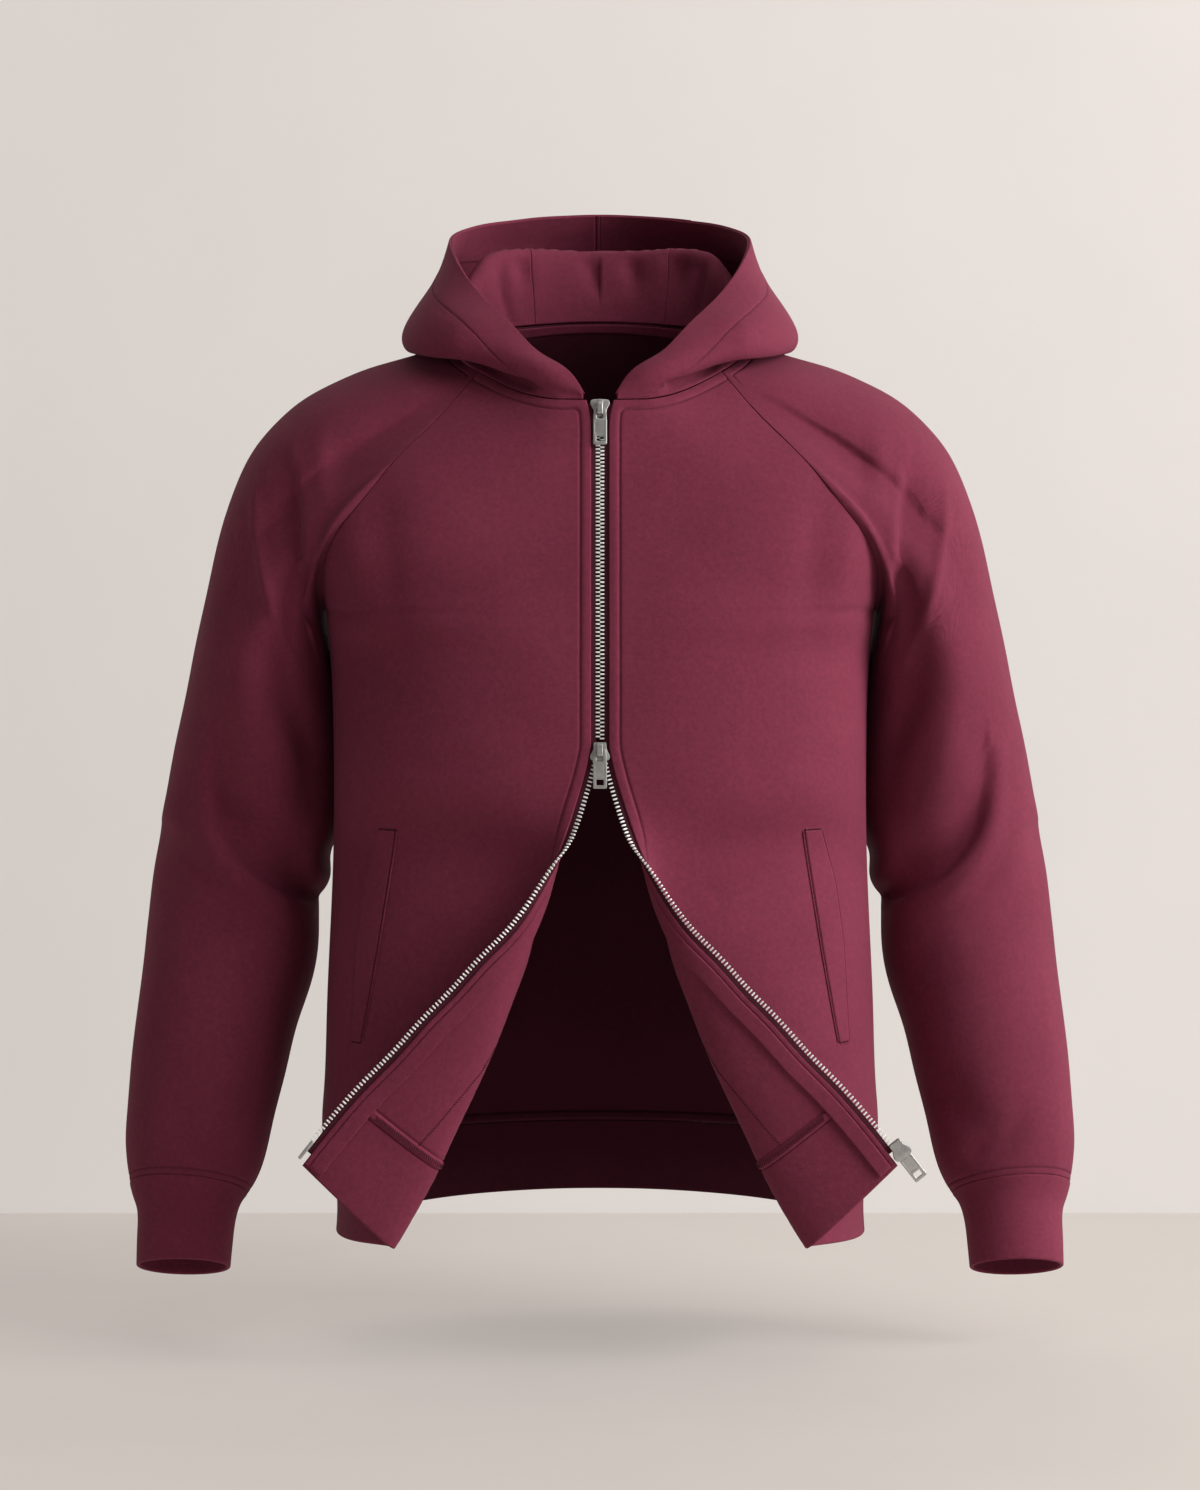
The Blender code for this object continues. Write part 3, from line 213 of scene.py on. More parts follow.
# The sleeves' largest folds: from one place on the tube to another, as ring and degrees round from the
# inner side by way of the front. A depth below 0 is a ridge.
SLEEVE_FOLDS = table(
    "ring_a round_a ring_b round_b width depth",
    (0.45, 72, 2.3, 40, 15, 6.0),
    (0.55, 100, 2.6, 72, 15, -4.0),
    (2.4, 120, 3.9, 25, 17, 6.5),
    (3.0, 150, 4.4, 40, 18, -4.5),
    (3.9, -30, 4.05, 30, 12, 7.0),
    (3.9, 150, 5.0, 95, 18, 3.5),
    (2.6, -95, 4.0, -25, 17, 5.5),
    (3.2, -150, 4.4, -60, 18, -4.0),
    (7.2, 10, 8.3, 70, 18, 4.0),
    (7.6, -20, 8.4, -80, 18, 3.5),
)
# The hood's stations round the neck, from the zip to the centre back. Each section rises from the neck
# seam over a ridge, falls to the lowest turn of the bag, and climbs its outer side to the rim. Out is
# measured level, in the direction facing gives (0 is the wearer's right, -90 forward, 90 backward). The last
# station mirrors the one before the centre, so that the hood runs smoothly across it.
HOOD = table(
    "share facing ridge_out ridge_up fall_out fall_up turn_out turn_up swell_out swell_up rise_out rise_up"
    " rim_x  rim_y  rim_z",
    (0.00, -80, 0.1, 0.5, 0.2, 0.9, 0.3, 1.3, 0.4, 1.6, 0.4, 1.9, -9.8, -98.6, -45.0),
    (0.06, -78, 0.4, 4, 1.2, 6.5, 2.4, 9, 3.4, 13, 3.4, 18, -23, -97, -24.5),
    (0.13, -75, 0.5, 4, 2, 7, 4.5, 10, 7, 16, 7, 25, -42, -90, -11),
    (0.26, -52, 0.5, 8, 6, 9.5, 14, 10, 19, 17, 15, 32, -68, -72, 15),
    (0.38, -25, 0.5, 13, 15, 6, 29, 2, 34, 11, 25, 36, -94, -46, 43),
    (0.50, 3, 1.5, 15, 21, 5, 38, -4, 44, 5, 26, 40, -116, -8, 77),
    (0.60, 20, 3.0, 29, 24, 13, 44, -12, 53, 3, 31, 42, -122, 34, 99),
    (0.70, 42, 5.0, 56, 25, 27, 53, -32, 70, -4, 46, 58, -112, 76, 114),
    (0.82, 66, 12.0, 64, 26, 34, 64, -72, 92, -14, 76, 64, -82, 118, 127),
    (0.90, 80, 15.0, 62, 29, 32, 72, -104, 102, -28, 90, 62, -49, 138, 134),
    (0.95, 85, 15.7, 61, 30.3, 30.5, 76, -118.5, 106, -35, 93.2, 60.4, -25, 147.2, 137.1),
    (1.00, 90, 16.0, 60.5, 31, 30, 78, -124, 108, -38, 94, 60, 0, 150, 138),
    (1.05, 95, 15.7, 61, 30.3, 30.5, 76, -118.5, 106, -35, 93.2, 60.4, 25, 147.2, 137.1),
)
HOOD_SEAM = 0.835  # the share round the neck of the hood's panel seams
# The pocket welt on a front: its two long sides, measured across from the middle of the garment.
WELT = table(
    "level  far   near",
    (330, -171.7, -155.0),
    (372, -182.9, -161.0),
    (425, -189.0, -169.2),
    (502, -193.5, -183.0),
)


# ---------------------------------------------------------------- curves and surfaces
def spline(stations, values, at):
    """A natural cubic spline through the values, read at each place."""
    stations = np.asarray(stations, float)
    values = np.asarray(values, float)
    flat = values.reshape(len(stations), -1)
    step = np.diff(stations)
    slope = np.diff(flat, axis=0) / step[:, None]
    system = np.eye(len(stations))
    load = np.zeros_like(flat)
    for i in range(1, len(stations) - 1):
        system[i, i - 1] = step[i - 1]
        system[i, i] = 2 * (step[i - 1] + step[i])
        system[i, i + 1] = step[i]
        load[i] = 6 * (slope[i] - slope[i - 1])
    bend = np.linalg.solve(system, load)
    at = np.atleast_1d(np.asarray(at, float))
    i = np.clip(np.searchsorted(stations, at, side="right") - 1, 0, len(step) - 1)
    ahead = (at - stations[i])[:, None]
    left = (stations[i + 1] - at)[:, None]
    h = step[i][:, None]
    read = (
        bend[i] * left**3 / (6 * h)
        + bend[i + 1] * ahead**3 / (6 * h)
        + (flat[i] / h - bend[i] * h / 6) * left
        + (flat[i + 1] / h - bend[i + 1] * h / 6) * ahead
    )
    return read.reshape((len(at),) + values.shape[1:])


def read(source, key, names, at):
    """The named columns of a table, splined and read at each place, as points or numbers."""
    names = names.split()
    values = np.stack([source[name] for name in names], axis=1)
    found = spline(source[key], values, at)
    return found if len(names) > 1 else found[:, 0]


def bezier(a, b, c, d, s):
    """Cubic Bezier points: a to d have a row each, s holds the places along every row or along each one."""
    s = np.atleast_2d(np.asarray(s, float))[:, :, None]
    a, b, c, d = (p[:, None, :] for p in (a, b, c, d))
    return (1 - s) ** 3 * a + 3 * (1 - s) ** 2 * s * b + 3 * (1 - s) * s**2 * c + s**3 * d


def smooth(t):
    """A share that eases in and out between 0 and 1."""
    t = np.clip(t, 0, 1)
    return t * t * (3 - 2 * t)


def unit(v):
    return v / np.maximum(np.linalg.norm(v, axis=-1, keepdims=True), 1e-9)


def normals(grid, wrap=False):
    """The unit normals of a grid of points. wrap joins the last column to the first."""
    grid = grid[..., :3]
    down = np.gradient(grid, axis=0)
    if wrap:
        across = np.roll(grid, -1, axis=1) - np.roll(grid, 1, axis=1)
    else:
        across = np.gradient(grid, axis=1)
    return unit(np.cross(down, across))


def run_of(points, axis=0):
    """The distance along a line of points, or along every line of a grid, from its first point."""
    step = np.linalg.norm(np.diff(points, axis=axis), axis=-1)
    return np.concatenate([0 * np.take(step, [0], axis=axis), np.cumsum(step, axis=axis)], axis=axis)


FLIP = np.array([-1.0, 1.0, 1.0])  # from the wearer's right side to the left


# ---------------------------------------------------------------- the body
def edge_points(raglan, levels):
    """Points of the seam that bounds a front or the back at the side."""
    levels = np.atleast_1d(np.asarray(levels, float))
    above = read(raglan, "level", "x y z", np.minimum(levels, UNDERARM))
    below = read(SIDE_SEAM, "level", "x y z", np.maximum(levels, UNDERARM))
    return np.where((levels < UNDERARM)[:, None], above, below)


def front_curves(levels):
    """Each row of a front as two Bezier curves: from the side seam to the fold, and on to the zip's edge."""
    start = edge_points(FRONT_EDGE, levels)
    lead, reach, dip = read(FRONT_ROWS, "level", "lead reach dip", levels).T
    turned, ease, roll = read(FRONT_ROWS, "level", "turned ease roll", levels).T
    fold = read(FRONT_ROWS, "level", "fold_x fold_y fold_z", levels)
    edge = read(FRONT_ROWS, "level", "edge_x edge_y edge_z", levels)
    edge[:, 0] = np.minimum(edge[:, 0], -ZIP_HALF)
    angle = np.radians(lead)
    leave = np.stack([np.cos(angle), -np.sin(angle), dip], axis=1) * reach[:, None]
    angle = np.radians(np.clip(turned, 0, 90))
    along = np.stack([np.cos(angle), -np.sin(angle), 0 * angle], axis=1)
    span = np.linalg.norm(edge - fold, axis=1)
    over = fold + along * np.maximum(1.35 * roll, 0.33 * span * np.cos(angle))[:, None]
    bulge = fold + along * (1.8 * roll)[:, None]
    arrive = edge + (bulge - edge) * 0.4
    return (start, start + leave, fold - along * ease[:, None], fold), (fold, over, arrive, edge)


def front_grid(levels, shares):
    """The wearer's right front, from the side seam to the fold."""
    return bezier(*front_curves(levels)[0], shares)


def shares_from_edge(levels, distances):
    """Where on each row's flap curve a point lies that many millimetres back from the zip's edge."""
    shares = np.linspace(1, 0, 81)
    flap = bezier(*front_curves(levels)[1], shares)
    return np.stack([np.interp(distances, row, shares) for row in run_of(flap, axis=1)])


def edge_frames(levels):
    """Frames along the right front's zip edge: a point, the way down, away from the cloth, and outwards."""
    levels = np.atleast_1d(np.asarray(levels, float))
    at = np.clip(np.concatenate([levels - 1, levels, levels + 1]), 0, HEM)
    ends = bezier(*front_curves(at)[1], shares_from_edge(at, [4.0, 0.0]))
    above, here, below = np.split(ends, 3)
    down = unit(below[:, 1] - above[:, 1])
    away = unit(here[:, 1] - here[:, 0])
    away = unit(away - (away * down).sum(axis=1, keepdims=True) * down)
    return here[:, 1], down, away, unit(np.cross(down, away))


def welt_shares(levels):
    """The shares of the two columns that the pocket welt's sides lie on."""
    shares = np.linspace(0, 1, 161)
    rows = front_grid(levels, shares)[:, :, 0]
    found = []
    for side in ("far", "near"):
        place = np.interp(levels, WELT["level"], WELT[side])
        found.append(np.array([np.interp(x, row, shares) for x, row in zip(place, rows)]))
    return found


def back_grid(levels, shares):
    """The right half of the back. A share runs from 0 at the side seam to 1 at the centre back."""
    levels = np.atleast_1d(np.asarray(levels, float))
    start = edge_points(BACK_EDGE, levels)
    lead, reach, dip = read(BACK_ROWS, "level", "lead reach dip", levels).T
    centre_y, centre_z, ease = read(BACK_ROWS, "level", "centre_y centre_z ease", levels).T
    angle = np.radians(lead)
    leave = np.stack([np.cos(angle), np.sin(angle), dip], axis=1) * reach[:, None]
    centre = np.stack([0 * centre_y, centre_y, centre_z], axis=1)
    across = np.stack([ease, 0 * ease, 0 * ease], axis=1)
    return bezier(start, start + leave, centre - across, centre, shares)


def side_normals(levels, back=False):
    """Which way is out along the seam that bounds a front or the back at the side."""
    grid = (back_grid if back else front_grid)(levels, [0.0, 0.03])
    down = np.gradient(grid[:, 0], axis=0)
    across = grid[:, 1] - grid[:, 0]
    return unit(np.cross(across, down) if back else np.cross(down, across))


# ---------------------------------------------------------------- the sleeves
def armhole(levels, neck_shares):
    """The loop that a sleeve is sewn to, its outward normals, and how far round the sleeve each point is.

    It starts at the underarm, climbs the front raglan seam, crosses the neckline and comes down the back.
    """
    front_out = side_normals(levels)
    back_out = side_normals(levels, back=True)
    side = read(NECK_SIDE, "share", "x y z", neck_shares)
    tilt = neck_shares[:, None]
    up = np.array([-0.18, 0.0, 0.98])
    side_out = np.where(
        tilt < 0.5,
        front_out[0] + (up - front_out[0]) * (2 * np.minimum(tilt, 0.5)) ** 0.7,
        back_out[0] + (up - back_out[0]) * (2 - 2 * np.maximum(tilt, 0.5)) ** 0.7,
    )
    front = edge_points(FRONT_EDGE, levels)
    back = edge_points(BACK_EDGE, levels)
    loop = np.concatenate([front[::-1], side[1:-1], back[:-1]])
    out = unit(np.concatenate([front_out[::-1], side_out[1:-1], back_out[:-1]]))
    run = run_of(np.vstack([loop, loop[:1]]))
    corners = [0, run[len(levels) - 1], run[len(levels) + len(neck_shares) - 2], run[-1]]
    return loop, out, np.interp(run[:-1], corners, CORNERS_ROUND)


def rings(at, round_at):
    """Rings of a sleeve below its head: each lies square to the path of the ring centres."""
    at = np.atleast_1d(np.asarray(at, float))
    centre = read(SLEEVE_RINGS, "ring", "x y z", at)
    step = 0.05
    ahead = read(SLEEVE_RINGS, "ring", "x y z", np.minimum(at + step, SLEEVE_END))
    behind = read(SLEEVE_RINGS, "ring", "x y z", np.maximum(at - step, 1.0))
    axis = unit(ahead - behind)
    inward = np.cross(axis, np.array([0.0, 1.0, 0.0]))
    inward = unit(inward) * np.sign(inward[:, :1])
    forward = unit(np.cross(axis, inward))
    forward *= -np.sign(forward[:, 1:2])
    wide, deep = read(SLEEVE_RINGS, "ring", "wide deep", at).T
    turn = np.radians(round_at)[None, :, None]
    return (
        centre[:, None]
        + inward[:, None] * wide[:, None, None] * np.cos(turn)
        + forward[:, None] * deep[:, None, None] * np.sin(turn)
    )


def sleeve_grid(at, levels, neck_shares):
    """The right sleeve: below ring 1 from its rings, above it lofted to the armhole."""
    loop, out, round_at = armhole(levels, neck_shares)
    first, second = rings([1.0, 1.12], round_at)
    axis = unit(second - first)
    chord = np.linalg.norm(first - loop, axis=1)[:, None]
    cosine = np.cos(np.radians(round_at))
    top = np.clip(-cosine, 0, 1)[:, None]
    under = smooth((cosine - HEAD["from"]) / HEAD["span"])[:, None]
    towards = unit(first - loop)
    flat = unit(towards - (towards * out).sum(axis=1, keepdims=True) * out)
    ahead, behind = np.roll(loop, -1, axis=0), np.roll(loop, 1, axis=0)
    corner_a, corner_b = len(levels) - 1, len(levels) + len(neck_shares) - 2
    ahead[corner_a] = loop[corner_a]
    behind[corner_b] = loop[corner_b]
    aside = unit(np.cross(out, unit(ahead - behind)))
    aside *= np.sign((aside * np.array([-1.0, 0.0, 0.6])).sum(axis=1, keepdims=True))
    leave = unit((flat + aside * (HEAD["aside"] + HEAD["crease"] * under)) * (1 - under) + out * under)
    start = loop + aside * SEAM_GAP + out * under * SEAM_GAP
    leave_reach = chord * (HEAD["reach"] + HEAD["crown"] * top) * (1 - under) + HEAD["under"] * under
    arrive_reach = chord * (0.40 + 0.125 * top)
    head = bezier(start, start + leave * leave_reach, first - axis * arrive_reach, first, at[at < 1])
    grid = np.concatenate([np.swapaxes(head, 0, 1), rings(at[at >= 1], round_at)])
    return folded(grid, at, round_at), out, round_at


def folded(grid, at, round_at):
    """The sleeve with its folds pressed in along its normals."""
    scale = np.array([48.0, 1.15])  # millimetres in a ring and in a degree
    place = np.stack(np.meshgrid(at, round_at, indexing="ij"), axis=-1) * scale
    depth = 0
    for a, round_a, b, round_b, width, deep in zip(*SLEEVE_FOLDS.values()):
        for shift in (0, 360):
            start = np.array([a, round_a + shift]) * scale
            reach = np.array([b, round_b + shift]) * scale - start
            share = np.clip(((place - start) @ reach) / (reach @ reach), 0, 1)
            away = np.linalg.norm(place - start - share[..., None] * reach, axis=-1)
            depth = depth + deep * np.exp(-((away / width) ** 2)) * (0.55 + 0.45 * np.sin(np.pi * share))
    free = np.clip(at / 0.6, 0, 1) * np.clip((SLEEVE_SEAM - at) / 0.5, 0, 1)
    inner = 1 - 0.75 * np.clip(np.cos(np.radians(round_at)) * 3 - 2, 0, 1)
    return grid + normals(grid, wrap=True) * (depth * free[:, None] * inner)[..., None]


# ---------------------------------------------------------------- the hood
def neckline(front, side, back):
    """The neck seam's right half from the zip to the centre back, and each point's share of its length."""
    points = np.concatenate([front[::-1], side[1:-1], back])
    run = run_of(points)
    return points, run / run[-1]


def along(points, places, shares):
    """Points of a line at the given shares, when its own points lie at these places."""
    return np.stack([np.interp(shares, places, points[:, k]) for k in range(3)], axis=1)


def hood_knots(seam, shares):
    """The knots of the hood's sections: a row for each knot, a column for each point of the neck seam."""
    facing = np.radians(read(HOOD, "share", "facing", shares))
    out = np.stack([-np.cos(facing), np.sin(facing), 0 * facing], axis=1)
    up = np.array([0.0, 0.0, 1.0])
    knots = [seam]
    for name in ("ridge", "fall", "turn", "swell", "rise"):
        level, lift = read(HOOD, "share", f"{name}_out {name}_up", shares).T
        knots.append(seam + out * level[:, None] + up * lift[:, None])
    knots.append(read(HOOD, "share", "rim_x rim_y rim_z", shares))
    return np.stack(knots)


def hood_grid(seam, shares, below, above):
    """The right half of the hood, a column for each point of the neck seam, rows from the seam to the rim.

    The rows below the facing are counted in knots from the seam, those on it in shares of its width.
    """
    columns = []
    widths = FACING_WIDTH - FACING_TAPER * smooth(2 * shares - 1)
    for column, width in zip(np.swapaxes(hood_knots(seam, shares), 0, 1), widths):
        gaps = np.linalg.norm(np.diff(column, axis=0), axis=1) ** 0.7
        stations = np.concatenate([[0], np.cumsum(gaps)]) / gaps.sum()
        places = np.linspace(0, 1, 161)
        line = spline(stations, column, places)
        run = run_of(line)
        start = max(run[-1] - width, 0.12 * run[-1])
        knots = np.interp(stations, places, run)
        numbers = np.arange(len(knots))
        low = below * min(1.0, np.interp(start, knots, numbers) / 5.0)
        at = np.concatenate([np.interp(low, numbers, knots), start + above * (run[-1] - start)])
        columns.append(along(line, run, at))
    return np.swapaxes(np.array(columns), 0, 1)


# ---------------------------------------------------------------- materials
def material(name):
    """A new material, its node tree, its shader and the object's own coordinates."""
    made = bpy.data.materials.new(name)
    made.use_nodes = True
    tree = made.node_tree
    where = tree.nodes.new("ShaderNodeTexCoord").outputs["Object"]
    return made, tree, tree.nodes["Principled BSDF"], where


def ramp_node(tree, value, *stops):
    node = tree.nodes.new("ShaderNodeValToRGB")
    elements = node.color_ramp.elements
    for element, (place, colour) in zip(elements, (stops[0], stops[-1])):
        element.position, element.color = place, (*colour, 1)
    for place, colour in stops[1:-1]:
        elements.new(place).color = (*colour, 1)
    tree.links.new(value, node.inputs[0])
    return node.outputs[0]


def math_node(tree, operation, *values, clamp=False):
    node = tree.nodes.new("ShaderNodeMath")
    node.operation = operation
    node.use_clamp = clamp
    for socket, value in zip(node.inputs, values):
        if isinstance(value, (int, float)):
            socket.default_value = value
        else:
            tree.links.new(value, socket)
    return node.outputs[0]


def weighted(tree, *parts):
    """The sum of values, each times its weight."""
    shares = [math_node(tree, "MULTIPLY", value, weight) for value, weight in parts]
    total = shares[0]
    for share in shares[1:]:
        total = math_node(tree, "ADD", total, share)
    return total


def bump_node(tree, shader, height, strength, distance):
    bump = tree.nodes.new("ShaderNodeBump")
    bump.inputs["Strength"].default_value = strength
    bump.inputs["Distance"].default_value = distance * MM
    tree.links.new(height, bump.inputs["Height"])
    tree.links.new(bump.outputs[0], shader.inputs["Normal"])


def noise_node(tree, vector, scale, detail=3.0, roughness=0.5):
    node = tree.nodes.new("ShaderNodeTexNoise")
    node.inputs["Scale"].default_value = scale
    node.inputs["Detail"].default_value = detail
    node.inputs["Roughness"].default_value = roughness
    tree.links.new(vector, node.inputs["Vector"])
    return node.outputs["Fac"]


def cloth_material(name, dark, light, wale, course, relief, sheen, tint):
    """Knitted or woven cloth: columns and rows of loops in the cloth's own lengths, fuzz and mottling."""
    made, tree, shader, where = material(name)
    place = tree.nodes.new("ShaderNodeUVMap")
    place.uv_map = "cloth"
    split = tree.nodes.new("ShaderNodeSeparateXYZ")
    tree.links.new(place.outputs["UV"], split.inputs[0])

    fuzz = noise_node(tree, where, 1500, 2.0, 0.6)
    blot = noise_node(tree, where, 260, 3.0, 0.55)
    cloud = noise_node(tree, where, 14)
    across = math_node(tree, "MULTIPLY", split.outputs[0], 2 * math.pi / (wale * MM))
    column = math_node(tree, "ABSOLUTE", math_node(tree, "SINE", across))
    down = weighted(tree, (split.outputs[1], 2 * math.pi / (course * MM)), (column, 1.1))
    knit = weighted(tree, (column, 0.6), (math_node(tree, "SINE", down), 0.4))
    height = weighted(tree, (knit, 1.0), (fuzz, 1.5), (blot, 0.9))
    tone = weighted(tree, (fuzz, 0.30), (blot, 0.45), (cloud, 0.25), (knit, 0.05))
    middle = tuple((a + b) / 2 for a, b in zip(dark, light))
    colour = ramp_node(tree, tone, (0.34, dark), (0.52, middle), (0.68, light))
    tree.links.new(colour, shader.inputs["Base Color"])
    rough = math_node(tree, "ADD", math_node(tree, "MULTIPLY", blot, 0.16), 0.80, clamp=True)
    tree.links.new(rough, shader.inputs["Roughness"])
    bump_node(tree, shader, height, 0.75, relief)
    shader.inputs["Specular IOR Level"].default_value = 0.22
    shader.inputs["Sheen Weight"].default_value = sheen
    shader.inputs["Sheen Roughness"].default_value = 0.45
    shader.inputs["Sheen Tint"].default_value = (*tint, 1)
    return made


def metal_material(name, colour, roughness, scratch, metallic):
    """Plated metal with fine brushing and slightly duller patches."""
    made, tree, shader, where = material(name)
    stretch = tree.nodes.new("ShaderNodeMapping")
    stretch.inputs["Scale"].default_value = (9.0, 9.0, 1.0)
    tree.links.new(where, stretch.inputs[0])
    brushed = noise_node(tree, stretch.outputs[0], 700, 3.0, 0.6)
    patch = noise_node(tree, where, 240, 3.0, 0.6)
    shade = ramp_node(tree, patch, (0.3, tuple(c * 0.78 for c in colour)), (0.7, colour))
    tree.links.new(shade, shader.inputs["Base Color"])
    shader.inputs["Metallic"].default_value = metallic
    rough = math_node(tree, "ADD", math_node(tree, "MULTIPLY", brushed, scratch), roughness)
    tree.links.new(rough, shader.inputs["Roughness"])
    bump_node(tree, shader, brushed, 0.25, 0.05)
    return made


# Wale, course and relief of the loops of each cloth, in millimetres.
KNIT = (1.25, 0.95, 0.14)
WOVEN = (0.9, 0.6, 0.18)
TWIST = (0.35, 0.35, 0.08)
FLEECE = cloth_material(
    "fleece", (0.136, 0.0168, 0.0390), (0.203, 0.0300, 0.0620), *KNIT, 0.05, (0.66, 0.29, 0.42)
)
# Painted shade: a darker copy of the fleece, for the inner side of the back and of the back half of the hem
# band, where deep shade falls.
PAINTED_SHADE_FLEECE = cloth_material(
    "fleece_painted_shade", (0.042, 0.0036, 0.0115), (0.063, 0.0062, 0.0180), *KNIT, 0.05, (0.6, 0.25, 0.36)
)
TAPE = cloth_material(
    "woven_tape", (0.048, 0.006, 0.015), (0.082, 0.011, 0.026), *WOVEN, 0.10, (0.5, 0.25, 0.32)
)
THREAD = cloth_material("thread", (0.088, 0.0105, 0.024), (0.14, 0.019, 0.04), *TWIST, 0.2, (0.6, 0.3, 0.38))
# Darker thread for the stitching on the inner side, also used for the cords that paint the shadow in the
# creases round the pocket welts.
DARK_THREAD_AND_SHADOW = cloth_material(
    "dark_thread_and_painted_shadow", (0.036, 0.0036, 0.0095), (0.06, 0.0065, 0.017), *TWIST, 0.05, (0.6, 0.3, 0.38)
)
METAL = metal_material("zip_metal", (0.50, 0.49, 0.475), 0.26, 0.16, 0.62)
TEETH = metal_material("zip_teeth", (1.0, 0.985, 0.96), 0.28, 0.12, 0.12)


# ---------------------------------------------------------------- fine panels
ROLL = [0, 0.1, 0.3, 0.6, 1.0, 1.6, 2.6, 4.2]  # rows near an edge that rolls into its seam
STITCH_IN = 8.3  # the topstitching's distance from the neck seam and from the zip's edge
STITCHED = ROLL + [5.8, 6.8, 7.4, 7.9, 8.3, 8.7, 9.2, 9.9, 11.0, 12.4, 14.2]
SEAM_ROWS = ROLL + [5.0, 5.6, 6.1, 6.6, 7.1, 7.6, 8.1, 8.6, 9.4, 11]  # over the hem band's overlocked seam
CUFF_STITCH = 5.2  # the topstitching above the cuff seam
CUFF_STITCHED = ROLL[:-1] + [3.9, 4.5, 4.9, 5.2, 5.5, 5.9, 6.6, 8.0]
EDGES = LEFT, RIGHT, TOP, FOOT = (-4, -3, -2, -1)  # the channels of a point's distances from the edges


def resample(data, near_start, near_end, count):
    """Each row of a grid at set distances from its ends and evenly between them.

    A point is x, y, z and any further channels. Its distances from the row's start and end are added to them.
    """
    run = run_of(data[..., :3], axis=1)
    total = run[:, -1:]
    near_start, near_end = np.array(near_start), np.array(near_end)
    squeeze = np.minimum(1.0, 0.45 * total / max(near_start[-1], near_end[-1]))
    head = near_start * squeeze
    foot = total - near_end[::-1] * squeeze
    share = np.linspace(0, 1, count + 2)[1:-1]
    at = np.concatenate([head, head[:, -1:] + (foot[:, :1] - head[:, -1:]) * share, foot], axis=1)
    made = [
        np.stack([np.interp(place, line, channel) for channel in row.T], axis=-1)
        for place, line, row in zip(at, run, data)
    ]
    return np.concatenate([made, at[..., None], (total - at)[..., None]], axis=2)


def fine(grid, across, down, extra=None):
    """A panel's grid with rows and columns placed by distance from its edges.

    across and down each say the distances near the first edge, those near the last and how many lie between.
    """
    data = grid if extra is None else np.concatenate([grid, extra[..., None]], axis=2)
    data = resample(data, *across)
    return np.swapaxes(resample(np.swapaxes(data, 0, 1), *down), 0, 1)


def rolled(distance, radius):
    """How far a surface has turned in, at a distance from an edge that it rolls round."""
    near = np.clip(1 - distance / radius, 0, 1)
    return radius * (1 - np.sqrt(1 - near**2))


def groove(distance, at, depth, width):
    """A soft groove along a line at a set distance from an edge."""
    return depth * np.exp(-(((distance - at) / width) ** 2))


def bow(a, b, c, count=40):
    """Points of a bow from a to c that b draws to its side."""
    t = np.linspace(0, 1, count)[:, None]
    a, b, c = (np.asarray(p, float) for p in (a, b, c))
    return (1 - t) ** 2 * a + 2 * (1 - t) * t * b + t**2 * c


def pressed(points, out, folds, towards, mirror=False):
    """Presses soft folds into a surface, each a trough or a ridge along a bow seen from the front.

    towards is -1 for the folds on the side that faces forward and 1 for those behind. A skew over 0 makes a
    fold steep on the left of its bow, going from its first end to its last, and wide on the right.
    """
    flat = np.stack([points[..., 0] * (-1 if mirror else 1), points[..., 2]], axis=-1)
    facing = smooth((out[..., 1] * towards + 0.15) / 0.45)
    depth = np.zeros(points.shape[:2])
    for ax, az, bx, bz, cx, cz, width, deep, skew in zip(*folds.values()):
        line = bow((ax, az), (bx, bz), (cx, cz))
        low, high = line.min(axis=0) - 4 * width, line.max(axis=0) + 4 * width
        near = ((flat > low) & (flat < high)).all(axis=-1)
        if not near.any():
            continue
        where = flat[near]
        gap = np.linalg.norm(where[:, None] - line[None], axis=2)
        nearest = gap.argmin(axis=1)
        away = gap[np.arange(len(where)), nearest]
        heading = np.gradient(line, axis=0)[nearest]
        offset = where - line[nearest]
        left = np.sign(heading[:, 0] * offset[:, 1] - heading[:, 1] * offset[:, 0])
        fade = np.sin(np.pi * (0.12 + 0.76 * nearest / (len(line) - 1))) ** 0.8
        depth[near] += deep * np.exp(-((away / (width * (1 - skew * left))) ** 2)) * fade
    return points - out * (depth * facing)[..., None]


# The heading and the phase of each of the waves that make up a slight unevenness.
WAVES = ((1, 0.3, 0.6, 0.4), (-0.5, 0.8, 0.9, 1.9), (0.7, -0.9, 0.45, 3.1), (0.25, 0.5, -1.3, 5.2))


def waves(points, height, length):
    """A slight unevenness, as hanging cloth has."""
    total = 0
    for k, (*heading, phase) in enumerate(WAVES):
        place = points[..., :3] @ unit(np.array(heading))
        total = total + np.sin(place * 2 * np.pi / (length * (0.7 + 0.25 * k)) + phase)
    return height * total / 2


def uneven(data, out, length=100):
    """Gives a panel a slight unevenness along its normals. Returns its new normals."""
    data[..., :3] += out * waves(data, 0.4, length)[..., None]
    return normals(data)


